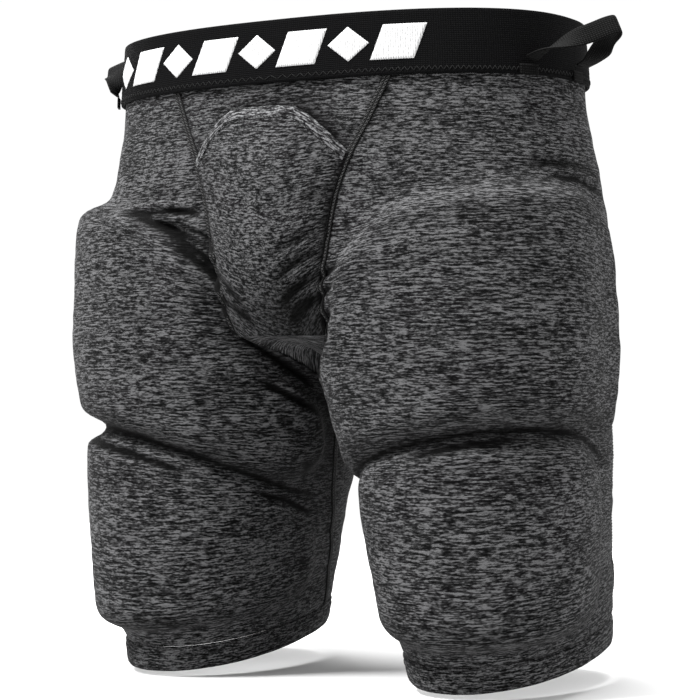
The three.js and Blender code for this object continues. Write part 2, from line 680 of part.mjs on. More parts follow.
/** Inner and outer face of a loop: flat against the band at its ends, upright at its tip. */
function loopFaces(rise) {
  const { front, back, axis, reach, normal } = loopFrame(rise);
  const middle = front.clone().lerp(back, 0.5);
  const half = front.distanceTo(back) / 2;
  const shape = [[-1, 0], [-0.97, 0.2], [-0.72, 0.46], [-0.4, 0.72], [-0.2, 0.92], [0, 1]];
  const mirroredShape = shape.slice(0, -1).reverse().map(([s, h]) => [-s, h]);
  const path = new THREE.CatmullRomCurve3([...shape, ...mirroredShape].map(([s, h]) =>
    middle.clone().addScaledVector(axis, s * half + h * loopSkew).addScaledVector(reach, h * loopReach)));
  const points = path.getPoints(31); // an odd count leaves a flat facet at the tip
  return [-1, 1].map((face) => [-1, 1].map((w) => points.map((p, i) => {
    const share = i / (points.length - 1);
    const tangent = path.getTangent(share);
    const turn = (Math.PI / 2) * smooth(Math.min(share, 1 - share) / twistShare);
    const flat = new THREE.Vector3().crossVectors(normal, tangent).normalize();
    const across = flat.multiplyScalar(Math.cos(turn)).addScaledVector(normal, Math.sin(turn));
    const thick = new THREE.Vector3().crossVectors(tangent, across).normalize();
    return p.clone().addScaledVector(thick, (face * webbingThickness) / 2)
      .addScaledVector(across, (w * webbingWidth) / 2);
  })));
}

function addLoops() {
  addPiece("left_hang_loop", slab(...loopFaces(loopRise.left)), webbing);
  addPiece("right_hang_loop", slab(...loopFaces(loopRise.right).map(mirrored)), webbing);

  const tabIn = bandIn + bandThickness + stripThickness + tabLift;
  const tabDrops = [loopDrop + tabTop, bandHeight + tabLap];
  for (const [word, arc] of [["front", loopFrontArc], ["back", loopFrontArc + loopSpan]]) {
    const arcs = spread(arc - webbingWidth / 2, arc + webbingWidth / 2, webbingWidth / 2);
    const tab = (offset) => tabDrops.map((drop) => arcs.map((a) => shellPoint(a, drop, tabIn + offset)));
    addPair(`${word}_loop_tab`, tab(0), tab(webbingThickness), webbing);
  }
}

shorts.name = "padded_impact_shorts";
addShellPanels();
addPads();
addFront();
addGusset();
addRings();
addSeams();
addLoops();

export default shorts;
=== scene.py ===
"""Padded impact shorts, built as cloth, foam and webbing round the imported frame.

Sizes inside the script are millimetres, as a pattern cutter gives them; meshes are made in metres.
A place on the cloth is (arc, drop): the way round the leg from its outer side line, negative to
the front, and the way down from the waistband's top rim. Every left piece is mirrored to the right.
"""
import math

import bpy
import numpy as np
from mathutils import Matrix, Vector


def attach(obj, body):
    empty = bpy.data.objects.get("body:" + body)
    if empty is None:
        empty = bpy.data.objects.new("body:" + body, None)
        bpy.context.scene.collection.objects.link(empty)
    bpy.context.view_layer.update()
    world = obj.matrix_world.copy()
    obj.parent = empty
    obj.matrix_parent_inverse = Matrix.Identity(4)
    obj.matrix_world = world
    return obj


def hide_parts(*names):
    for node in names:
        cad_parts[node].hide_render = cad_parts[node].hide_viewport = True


bl_info = {
    "name": "Padded impact shorts",
    "version": (1, 0, 0),
    "blender": (4, 5, 0),
    "location": "View3D > Sidebar > Shorts",
    "description": "Builds padded impact shorts in knit, foam, elastic and webbing",
    "category": "Object",
}

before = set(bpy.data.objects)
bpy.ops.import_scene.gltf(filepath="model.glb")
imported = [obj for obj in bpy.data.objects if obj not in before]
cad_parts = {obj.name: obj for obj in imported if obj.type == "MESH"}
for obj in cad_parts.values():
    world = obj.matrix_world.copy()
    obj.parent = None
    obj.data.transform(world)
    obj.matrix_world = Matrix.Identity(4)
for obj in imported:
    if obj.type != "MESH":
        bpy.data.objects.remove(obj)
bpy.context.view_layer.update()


LEFT, RIGHT = 1, -1
WORD = {LEFT: "left", RIGHT: "right"}

# ---- the cut of the shorts, as in the frame ----
WAIST_HALF_WIDTH, WAIST_HALF_DEPTH = 157.0, 86.0
HEM_HALF_WIDTH, HEM_HALF_DEPTH, HEM_SPREAD, HEM_FORWARD = 52.0, 86.0, 110.0, 23.0
CROTCH_HALF_WIDTH, CROTCH_DROP, OUTSEAM, HEM_RISE = 86.0, 205.0, 405.0, 0.158
BAND_HEIGHT, BAND_IN, BAND_OUT = 40.0, 4.4, 6.4
KNIT_TOP, HEM_TOP = 30.0, 388.5
SHELL_OUT, SHELL_THICK = 3.4, 1.4
INSEAM_TOP, POUCH_BOTTOM = 236.0, 197.0
CELL = 2.0  # side of one cell of a cloth mesh
MM = 1000.0  # millimetres in a metre


def lerp(a, b, t):
    return a + (b - a) * t


def smooth(t):
    c = np.clip(t, 0.0, 1.0)
    return c * c * (3 - 2 * c)


def monotone(xs, ys):
    """Smooth curve through rising xs that never overshoots its points."""
    xs, ys = np.array(xs, float), np.array(ys, float)
    h = np.diff(xs)
    d = np.diff(ys) / h
    slope = np.concatenate([[d[0]], np.zeros(len(h) - 1), [d[-1]]])
    for i in range(1, len(h)):
        slope[i] = 0 if d[i - 1] * d[i] <= 0 else 2 * d[i - 1] * d[i] / (d[i - 1] + d[i])

    def curve(x):
        x = np.asarray(x, float)
        i = np.clip(np.searchsorted(xs, x, side="left") - 1, 0, len(h) - 1)
        t = (x - xs[i]) / h[i]
        a = 2 * t**3 - 3 * t**2 + 1
        b = t**3 - 2 * t**2 + t
        c = t**3 - t**2
        return a * ys[i] + b * h[i] * slope[i] + (1 - a) * ys[i + 1] + c * h[i] * slope[i + 1]

    return curve


# ---- the wearer's body ----
def leg_station(share, spread, narrow, depth, centre, roundness):
    """One level of the leg: shares of the way from the crotch to the hem, then its depth and centre."""
    return [
        lerp(CROTCH_DROP, OUTSEAM, share),
        lerp(CROTCH_HALF_WIDTH, HEM_SPREAD, spread),
        lerp(CROTCH_HALF_WIDTH, HEM_HALF_WIDTH, narrow),
        HEM_HALF_DEPTH + depth,
        centre,
        roundness,
    ]


# drop, centre x, half width, half depth, centre y, roundness
STATIONS = [
    [0, 0, WAIST_HALF_WIDTH, WAIST_HALF_DEPTH, 0, 2.45],
    [BAND_HEIGHT, 0, WAIST_HALF_WIDTH + 3, WAIST_HALF_DEPTH + 1, 0, 2.45],
    [CROTCH_DROP * 0.54, 25, WAIST_HALF_WIDTH - 11, WAIST_HALF_DEPTH + 8, 2, 2.4],
    [CROTCH_DROP * 0.78, 56, lerp(WAIST_HALF_WIDTH, CROTCH_HALF_WIDTH, 0.58),
     WAIST_HALF_DEPTH + 10, 5, 2.35],
    [CROTCH_DROP, CROTCH_HALF_WIDTH, CROTCH_HALF_WIDTH, WAIST_HALF_DEPTH + 9, 9, 2.3],
    leg_station(0.225, 0.33, 0.35, 7, 13, 2.25),
    leg_station(0.475, 0.58, 0.59, 5, 16, 2.2),
    leg_station(0.725, 0.79, 0.79, 3, 19, 2.15),
    [OUTSEAM, HEM_SPREAD, HEM_HALF_WIDTH, HEM_HALF_DEPTH, HEM_FORWARD, 2.1],
]
STATION_CURVES = [monotone([s[0] for s in STATIONS], [s[k] for s in STATIONS]) for k in range(1, 6)]


def section(drop):
    return [curve(drop) for curve in STATION_CURVES]


def half_angle(drop):
    """Angle at which one half's tube meets the centre plane; pi below the crotch."""
    cx, a, _, _, n = section(drop)
    return np.arccos(-np.clip(np.clip(cx / a, 0, 1) ** (n / 2), 0, 1))


def body_point(angle, drop, offset=0.0):
    """Point of the left half at an angle (0 outer side, negative front), a drop and an offset out."""
    angle, drop, offset = np.broadcast_arrays(
        np.asarray(angle, float), np.asarray(drop, float), np.asarray(offset, float))
    cx, a, b, cy, n = section(drop)
    c, s = np.cos(angle), np.sin(angle)
    x = a * np.sign(c) * np.abs(c) ** (2 / n)
    y = b * np.sign(s) * np.abs(s) ** (2 / n)
    nx = np.sign(x) * np.abs(x / a) ** (n - 1) / a
    ny = np.sign(y) * np.abs(y / b) ** (n - 1) / b
    nx = np.where(drop < CROTCH_DROP, nx * smooth((cx + x) / 12), nx)
    size = np.hypot(nx, ny)
    size = np.where(size < 1e-12, 1, size)
    fall = smooth((drop - CROTCH_DROP - 45) / (OUTSEAM - CROTCH_DROP - 45))
    py = cy + y + offset * ny / size
    rise = fall * HEM_RISE * (py - HEM_FORWARD)
    return np.stack([cx + x + offset * nx / size, py, -drop + rise], -1)


ARC_REACH, ARC_COUNT = 330.0, 1321
ARC_LINE = np.linspace(-ARC_REACH, ARC_REACH, ARC_COUNT)
TABLE_DROPS = np.arange(0.0, 412.0, 1.0)


def angle_tables():
    """Angle for every arc, one row per millimetre of drop, and the arc where each row ends."""
    rows, ends = [], []
    turn = np.linspace(-2 * math.pi, 2 * math.pi, 2881)
    for drop in TABLE_DROPS:
        end = float(half_angle(drop))
        whole = end > math.pi - 1e-6
        angles = turn if whole else np.linspace(-end, end, 1441)
        p = body_point(angles, np.full(len(angles), drop))
        length = np.concatenate([[0], np.cumsum(np.hypot(*np.diff(p[:, :2], axis=0).T))])
        length -= np.interp(0, angles, length)
        rows.append(np.interp(ARC_LINE, length, angles))
        ends.append([np.interp(-end, angles, length), np.interp(end, angles, length)])
    return np.array(rows), np.array(ends)


ANGLES, ENDS = angle_tables()


def bilinear(table, x, y):
    """Value of a table of rows y and columns x at fractional places."""
    x = np.clip(x, 0, table.shape[1] - 1.001)
    y = np.clip(y, 0, table.shape[0] - 1.001)
    i, j = y.astype(int), x.astype(int)
    v, u = y - i, x - j
    top = table[i, j] * (1 - u) + table[i, j + 1] * u
    low = table[i + 1, j] * (1 - u) + table[i + 1, j + 1] * u
    return top * (1 - v) + low * v


def angle_at(arc, drop):
    arc, drop = np.broadcast_arrays(np.asarray(arc, float), np.asarray(drop, float))
    step = ARC_LINE[1] - ARC_LINE[0]
    return bilinear(ANGLES, (arc + ARC_REACH) / step, drop / (TABLE_DROPS[1] - TABLE_DROPS[0]))


def on_body(arc, drop, offset=0.0):
    return body_point(angle_at(arc, drop), drop, offset)


def arc_end(drop, side):
    return np.interp(drop, TABLE_DROPS, ENDS[:, 0 if side < 0 else 1])


def arc_of_angle(angle, drop):
    """Arc length from the outer side line to an angle, at one drop."""
    angles = np.linspace(0, angle, 721)
    p = body_point(angles, np.full(721, float(drop)))
    return math.copysign(float(np.hypot(*np.diff(p[:, :2], axis=0).T).sum()), angle)


# ---- seam lines ----
FRONT_SEAM = np.array([[0, -112], [40, -126], [62, -139], [85, -157], [118, -177],
                       [165, -190], [205, -199]], float)
FRONT_SEAM_CURVE = monotone(FRONT_SEAM[:, 0], FRONT_SEAM[:, 1])


def front_seam(drop):
    return FRONT_SEAM_CURVE(np.asarray(drop, float))


BACK_SEAM_TOP, BACK_SEAM_HEM = 82.0, 56.0


def back_seam(drop):
    return lerp(BACK_SEAM_TOP, BACK_SEAM_HEM, np.asarray(drop, float) / OUTSEAM)


INSEAM_TURN, TURN_START = 0.42, 30  # radians at the hem, and where below the crotch it starts


def inseam_turn(drop):
    start = CROTCH_DROP + TURN_START
    return INSEAM_TURN * smooth((drop - start) / (OUTSEAM - start))


INSEAM_DROPS = np.arange(INSEAM_TOP - 2, OUTSEAM + 3, 4.0)
INSEAM_ARCS = {
    side: np.array([arc_of_angle(side * math.pi - float(inseam_turn(d)), d) for d in INSEAM_DROPS])
    for side in (-1, 1)
}


def inseam(drop, side=-1):
    return np.interp(drop, INSEAM_DROPS, INSEAM_ARCS[side])


def leg_edge(drop):
    """Front edge of the leg panel: front seam, then the gusset's edge, then the inseam."""
    drop = np.asarray(drop, float)
    share = (drop - POUCH_BOTTOM) / (INSEAM_TOP - POUCH_BOTTOM)
    between = lerp(front_seam(POUCH_BOTTOM), inseam(INSEAM_TOP), share)
    return np.where(drop <= POUCH_BOTTOM, front_seam(drop),
                    np.where(drop >= INSEAM_TOP, inseam(drop), between))


GUSSET_BACK, GUSSET_HALF = 75.0, 13.0


def gusset_half(y):
    return np.interp(y, [8, GUSSET_BACK, WAIST_HALF_DEPTH], [GUSSET_HALF, 2, 0])


def back_edge(drop):
    """Back edge of the back panel at one drop: the inseam, or where it clears the gusset."""
    if drop >= INSEAM_TOP:
        return float(inseam(drop, 1))
    arcs = np.linspace(float(arc_end(drop, 1)), 20, 400)
    p = on_body(arcs, np.full(400, float(drop)), SHELL_OUT - SHELL_THICK)
    need = np.where(p[:, 1] < GUSSET_BACK, gusset_half(p[:, 1]), 0) + 0.3
    clear = np.nonzero(p[:, 0] > need)[0]
    return float(arcs[clear[0]]) if len(clear) else float(arcs[0])


# ---- foam pads under the cloth, and how the stretched knit lies over them ----
UPPER_PAD = [(-60, 110), (-95, 114), (-128, 122), (-154, 137), (-174, 160), (-182, 195),
             (-200, 212), (-238, 243), (-244, 262), (-242, 281), (-214, 289), (-180, 280),
             (-142, 262), (-85, 249), (-25, 253), (24, 261), (40, 240), (38, 150), (10, 124),
             (-24, 112)]
LOWER_PAD = [(-40, 265), (-82, 264), (-125, 270), (-168, 282), (-204, 300), (-236, 325),
             (-240, 348), (-226, 366), (-190, 371), (-100, 375), (-15, 375), (5, 362), (8, 300),
             (-8, 275)]
# outline, thickness, and the shares of it left at the inner and the outer end
PADS = {"upper": (UPPER_PAD, 20.0, 0.5, 0.2), "lower": (LOWER_PAD, 18.0, 0.22, 0.2)}
PAD_EDGE, PAD_MARGIN = 12.0, 4.5
# arcs where the taper toward each end begins, and how far it runs
INNER_START, INNER_RUN, OUTER_START, OUTER_RUN = -70, 160, -60, 75


def rounded_outline(points, times=2):
    """The outline with its corners cut back, as a foam cutter rounds them."""
    p = np.array(points, float)
    for _ in range(times):
        q = np.roll(p, -1, axis=0)
        p = np.stack([0.75 * p + 0.25 * q, 0.25 * p + 0.75 * q], 1).reshape(-1, 2)
    return p


def inside(outline, arc, drop):
    """Signed distance into an outline, positive inside."""
    best = np.full(np.shape(arc), 1e9)
    within = np.zeros(np.shape(arc), bool)
    for (x0, y0), (x1, y1) in zip(np.roll(outline, 1, axis=0), outline):
        t = np.clip(((arc - x0) * (x1 - x0) + (drop - y0) * (y1 - y0))
                    / ((x1 - x0) ** 2 + (y1 - y0) ** 2), 0, 1)
        best = np.minimum(best, np.hypot(arc - lerp(x0, x1, t), drop - lerp(y0, y1, t)))
        if y0 != y1:
            within ^= ((y0 > drop) != (y1 > drop)) & (arc < lerp(x0, x1, (drop - y0) / (y1 - y0)))
    return np.where(within, best, -best)


def round_edge(t):
    return np.sqrt(1 - (1 - np.clip(t, 0, 1)) ** 2)


def pad_taper(name, arc):
    """Pads are thickest at the front of the thigh and thin out toward both ends."""
    _, _, inner_end, outer_end = PADS[name]
    toward_inner = smooth((INNER_START - arc) / INNER_RUN)
    toward_outer = smooth((arc - OUTER_START) / OUTER_RUN)
    return np.where(arc < INNER_START, lerp(1, inner_end, toward_inner),
                    lerp(1, outer_end, toward_outer))


def pad_height(name, arc, depth):
    return PADS[name][1] * pad_taper(name, arc) * round_edge(depth / PAD_EDGE)


TENT_CELL = 2.0
TENT_ARCS = np.arange(-300.0, 121.0, TENT_CELL)
TENT_DROPS = np.arange(20.0, 412.0, TENT_CELL)


def tented_knit():
    """Height of the knit over the pads: it rests on them and pulls straight across the dips."""
    arc, drop = np.meshgrid(TENT_ARCS, TENT_DROPS)
    rest = np.zeros(arc.shape)
    for name, (outline, *_) in PADS.items():
        depth = inside(rounded_outline(outline), arc, drop) + PAD_MARGIN - 1
        swell = 1 + 0.05 * smooth(depth / 45)
        rest = np.maximum(rest, pad_height(name, arc, depth) * swell + round_edge(depth / 4))
    along, around = (3.2 / TENT_CELL) ** 2, (6.0 / TENT_CELL) ** 2
    knit = rest.copy()
    for _ in range(260):
        up = np.pad(knit, 1, mode="edge")
        pull = along * (up[:-2, 1:-1] + up[2:, 1:-1]) + around * (up[1:-1, :-2] + up[1:-1, 2:])
        knit = np.maximum(rest, pull / (1 + 2 * along + 2 * around))
    for _ in range(2):
        up = np.pad(knit, 1, mode="edge")
        knit = 0.5 * knit + 0.125 * (up[:-2, 1:-1] + up[2:, 1:-1] + up[1:-1, :-2] + up[1:-1, 2:])
    return knit


TENT = tented_knit()


def tent_height(arc, drop):
    arc, drop = np.broadcast_arrays(np.asarray(arc, float), np.asarray(drop, float))
    inner = bilinear(TENT, (arc - TENT_ARCS[0]) / TENT_CELL, (drop - TENT_DROPS[0]) / TENT_CELL)
    return np.where((arc < TENT_ARCS[0]) | (arc > TENT_ARCS[-1]), 0.0, inner)


# Drag lines, as (way along the cloth, width, depth). They run from the crotch toward the hip.
RIGHT_CREASES = [
    ([(-112, 117), (-140, 118), (-168, 119)], 2.2, 1.7),
    ([(-120, 119), (-150, 128), (-196, 148)], 2.3, 2.2),
    ([(-142, 127), (-176, 146), (-212, 173)], 2.5, 2.5),
    ([(-156, 139), (-190, 162), (-222, 189)], 2.5, 2.5),
    ([(-178, 155), (-206, 178), (-234, 201)], 2.5, 2.2),
    ([(-188, 174), (-210, 194), (-232, 211)], 2.3, 1.9),
    ([(-146, 122), (-176, 134), (-198, 144)], 1.8, 1.2),
    ([(-198, 197), (-222, 216), (-240, 228)], 2.6, 1.8),
    ([(-204, 228), (-222, 240), (-240, 248)], 2.4, 1.2),
    ([(-84, 267), (-118, 272), (-156, 285)], 2.0, 1.0),
    ([(-54, 261), (-96, 268), (-134, 278)], 1.8, 0.9),
    ([(-190, 298), (-214, 304), (-240, 315)], 2.2, 1.0),
]
LEFT_CREASES = [
    ([(-197, 168), (-188, 163), (-176, 156)], 2.2, 1.2),
    ([(-200, 182), (-191, 174), (-180, 168)], 2.2, 1.3),
    ([(-202, 196), (-194, 190), (-186, 184)], 2.4, 1.2),
    ([(-40, 102), (-12, 103), (24, 110)], 2.4, 0.7),
    ([(-52, 95), (-20, 94), (14, 98)], 2.6, 0.5),
    ([(-206, 214), (-220, 222), (-236, 228)], 2.6, 1.2),
    ([(-70, 262), (-100, 266), (-132, 274)], 2.4, 0.7),
]
BACK_CREASES = [
    ([(96, 214), (140, 226), (190, 224)], 3.4, 1.3),
    ([(110, 228), (150, 238), (186, 238)], 3.0, 0.9),
    ([(100, 202), (136, 212), (170, 212)], 3.0, 0.7),
    ([(84, 60), (120, 66), (160, 64)], 3.0, 0.5),
]


def side_creases(side):
    return (LEFT_CREASES if side == LEFT else RIGHT_CREASES) + BACK_CREASES


RIDGE_HEIGHT, RIDGE_PLACE, RIDGE_WIDTH, VALLEY_DEPTH = 0.6, 2.3, 1.3, 1.1


def crease_field(creases, arc, drop):
    """Relief of the drag lines with the ridges beside them, and the painted shade at each place in them."""
    total, shade = np.zeros(np.shape(arc)), np.zeros(np.shape(arc))
    for line, width, depth in creases:
        line = np.array(line, float)
        best = np.full(np.shape(arc), 1e9)
        place = np.zeros(np.shape(arc))
        count = len(line) - 1
        for k in range(count):
            (x0, y0), (x1, y1) = line[k], line[k + 1]
            t = np.clip(((arc - x0) * (x1 - x0) + (drop - y0) * (y1 - y0))
                        / ((x1 - x0) ** 2 + (y1 - y0) ** 2), 0, 1)
            far = np.hypot(arc - lerp(x0, x1, t), drop - lerp(y0, y1, t))
            place = np.where(far < best, (k + t) / count, place)
            best = np.minimum(best, far)
        fade = np.sin(math.pi * np.clip(place, 0.02, 0.98)) ** 0.6
        valley = np.exp(-(best / width) ** 2)
        ridge = np.exp(-((best - RIDGE_PLACE * width) / (RIDGE_WIDTH * width)) ** 2)
        total += depth * fade * (RIDGE_HEIGHT * ridge - VALLEY_DEPTH * valley)
        shade = np.maximum(shade, min(1.0, depth / 1.2) * fade * np.exp(-(best / (1.15 * width)) ** 2))
    return total, shade


def waves(arc, drop, seed, lengths, stretch=2.0):
    """Sum of seeded sine waves, longer round the leg than down it, from about -1 to 1."""
    draw = np.random.default_rng(seed)
    total = np.zeros(np.shape(arc))
    for length in lengths:
        for _ in range(5):
            turn = draw.uniform(0, math.pi)
            phase = draw.uniform(0, 2 * math.pi)
            kx, ky = math.cos(turn) / (length * stretch), math.sin(turn) / length
            total += np.sin(2 * math.pi * (kx * arc + ky * drop) + phase)
    return total / (2.2 * math.sqrt(len(lengths)))


def knit_height(arc, drop, side):
    """Outward height of the shell's face above its plain fit on the body."""
    arc, drop = np.broadcast_arrays(np.asarray(arc, float), np.asarray(drop, float))
    depth = sizes().crease_depth * MM
    height = tent_height(arc, drop)
    height = height + depth * crease_field(side_creases(side), arc, drop)[0]
    calm = smooth((drop - 44) / 25) * smooth((HEM_TOP - drop) / 20)
    height = height + calm * 0.55 * waves(arc, drop, 7 + side, (26, 44, 70))
    height = height + calm * 0.12 * waves(arc, drop, 19 + side, (9, 13), stretch=3.0)
    for line, pull in ((front_seam(drop), 0.7), (back_seam(drop), 0.5)):
        near = np.abs(arc - line)
        pucker = 0.22 * np.sin(drop / 1.25 + 2 * np.sin(drop / 11)) * np.exp(-((near - 5) / 5) ** 2)
        height = height + np.where(drop < HEM_TOP - 4, calm * pucker, 0) - pull * np.exp(-(near / 4) ** 2)
    hem = np.abs(drop - HEM_TOP)
    pucker = 0.2 * np.sin(arc / 1.5 + 2 * np.sin(arc / 9)) * np.exp(-((hem - 5) / 4) ** 2)
    return height + pucker - 0.9 * np.exp(-(hem / 2.2) ** 2)


def shell_point(arc, drop, side, lift=0.0):
    """Point on the shell's outer face, or a lift above it."""
    return on_body(arc, drop, SHELL_OUT + knit_height(arc, drop, side) + lift)


# ---- meshes ----
def put(name, points, faces, uvs=None, smooth_faces=True):
    """Adds a mesh object from points in millimetres, faces, and one course place per face corner."""
    mesh = bpy.data.meshes.new(name)
    mesh.from_pydata((np.asarray(points, float) / MM).tolist(), [], [list(f) for f in faces])
    if uvs is not None:
        layer = mesh.uv_layers.new(name="courses")
        layer.data.foreach_set("uv", (np.asarray(uvs, float) / MM).astype(np.float32).ravel())
    mesh.polygons.foreach_set("use_smooth", [smooth_faces] * len(mesh.polygons))
    mesh.update()
    piece = bpy.data.objects.new(name, mesh)
    bpy.context.scene.collection.objects.link(piece)
    return piece


def signed_volume(points, faces):
    f = np.array([face[:3] for face in faces])
    total = np.einsum("ij,ij->i", points[f[:, 0]], np.cross(points[f[:, 1]], points[f[:, 2]])).sum()
    quads = np.array([face for face in faces if len(face) == 4])
    if len(quads):
        total += np.einsum("ij,ij->i", points[quads[:, 0]],
                           np.cross(points[quads[:, 2]], points[quads[:, 3]])).sum()
    return total


def fold_shade_mask(height, reach=4, full=1.1):
    """Painted shade in folds, from how deep each grid point lies below the cloth round it: 0 level or
    proud, 1 in a sharp fold.
    """
    blurred = height.copy()
    for axis in (0, 1):
        for _ in range(2):
            pad = [(0, 0), (0, 0)]
            pad[axis] = (reach, reach)
            total = np.cumsum(np.pad(blurred, pad, mode="edge"), axis=axis)
            lead = np.take(total, range(2 * reach, total.shape[axis]), axis=axis)
            start = np.take(total, range(0, total.shape[axis] - 2 * reach), axis=axis)
            blurred = (lead - start) / (2 * reach)
    return np.clip((blurred - height) / full, 0, 1)


def store_painted_shade(piece, painted_shade):
    """Stores the painted shade of the outer face, and the same values again for the inner one."""
    layer = piece.data.attributes.new("painted_shade", "FLOAT", "POINT")
    layer.data.foreach_set("value", np.tile(painted_shade.ravel(), 2).astype(np.float32))
    return piece


def shell_mesh(name, outer, inner, uv, side=LEFT, ring=False):
    """Closed cloth between an outer and an inner grid of points; uv has one more column on a ring."""
    outer, inner = np.array(outer, float), np.array(inner, float)
    if side == RIGHT:
        outer[..., 0] *= -1
        inner[..., 0] *= -1
    rows, cols = outer.shape[:2]
    points = np.concatenate([outer.reshape(-1, 3), inner.reshape(-1, 3)])
    wide = cols if ring else cols - 1
    r, c = np.meshgrid(np.arange(rows - 1), np.arange(wide), indexing="ij")
    r, c = r.ravel(), c.ravel()

    def quads(corners):
        """Faces and course places from (layer, row, column) corners."""
        face = np.stack([layer * rows * cols + rr * cols + cc % cols for layer, rr, cc in corners], 1)
        place = np.stack([uv[rr, np.minimum(cc, uv.shape[1] - 1)] for _, rr, cc in corners], 1)
        return face, place

    last, edge = rows - 1, np.arange(wide)
    zero = np.zeros_like(edge)
    parts = [
        quads([(0, r, c), (0, r + 1, c), (0, r + 1, c + 1), (0, r, c + 1)]),
        quads([(1, r, c), (1, r, c + 1), (1, r + 1, c + 1), (1, r + 1, c)]),
        quads([(0, zero, edge), (0, zero, edge + 1), (1, zero, edge + 1), (1, zero, edge)]),
        quads([(0, zero + last, edge), (1, zero + last, edge), (1, zero + last, edge + 1),
               (0, zero + last, edge + 1)]),
    ]
    if not ring:
        down = np.arange(rows - 1)
        first, end = np.zeros_like(down), np.full_like(down, cols - 1)
        parts += [
            quads([(0, down, first), (1, down, first), (1, down + 1, first), (0, down + 1, first)]),
            quads([(0, down, end), (0, down + 1, end), (1, down + 1, end), (1, down, end)]),
        ]
    faces = np.concatenate([p[0] for p in parts])
    places = np.concatenate([p[1] for p in parts])
    if signed_volume(points, faces) < 0:
        faces, places = faces[:, ::-1], places[:, ::-1]
    return put(name, points, faces.tolist(), places.reshape(-1, 2))


SEAM_THREAD, HEM_THREAD, POUCH_THREAD = 0.24, 0.22, 0.27  # half widths
STITCH_SHARE = 0.72  # of the pitch that a stitch covers


def stitch_mesh(name, starts, ends, normals, half_width, side=LEFT, sides=5):
    """Many short stitches of thread in one mesh, each a rounded strand from its start to its end."""
    starts, ends, normals = (np.array(v, float) for v in (starts, ends, normals))
    if side == RIGHT:
        for v in (starts, ends, normals):
            v[:, 0] *= -1
    run = ends - starts
    length = np.linalg.norm(run, axis=1, keepdims=True)
    along = run / length
    across = np.cross(along, normals)
    across /= np.linalg.norm(across, axis=1, keepdims=True)
    up = np.cross(across, along)
    turn = np.arange(sides) * 2 * math.pi / sides
    rings = []
    for t, swell, rise in ((0.0, 0.45, -0.5), (0.25, 1.0, 0.3), (0.75, 1.0, 0.3), (1.0, 0.45, -0.5)):
        centre = starts + run * t + up * half_width * rise
        ring = centre[:, None] + half_width * swell * (
            np.cos(turn)[None, :, None] * across[:, None] + 0.8 * np.sin(turn)[None, :, None] * up[:, None])
        rings.append(ring)
    points = np.concatenate(rings, 1)
    per = 4 * sides
    faces = []
    for k in range(len(starts)):
        base = k * per
        for ring in range(3):
            for i in range(sides):
                j = (i + 1) % sides
                a, b = base + ring * sides, base + (ring + 1) * sides
                faces.append((a + i, a + j, b + j, b + i))
        faces.append(tuple(base + i for i in range(sides))[::-1])
        faces.append(tuple(base + 3 * sides + i for i in range(sides)))
    points = points.reshape(-1, 3)
    if signed_volume(points, [f for f in faces if len(f) == 4]) < 0:
        faces = [f[::-1] for f in faces]
    uvs = [(7.0 * (f[0] // per), 0.0) for f in faces for _ in f]
    return put(name, points, faces, uvs)


def evenly(start, end, step):
    count = max(2, int(round(abs(end - start) / step)) + 1)
    return np.linspace(start, end, count)


def with_rims(values, step=0.5):
    """Adds a close row next to each end, so that the cloth's edge turns tightly."""
    return np.concatenate([[values[0], values[0] + math.copysign(step, values[1] - values[0])],
                           values[1:-1],
                           [values[-1] - math.copysign(step, values[-1] - values[-2]), values[-1]]])


def finish_piece(piece, material, slot, body, *nodes):
    piece.data.materials.append(MATERIALS[material])
    if nodes:
        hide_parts(*nodes)
    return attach(piece, body)


# ---- finishes ----
MATERIALS = {}


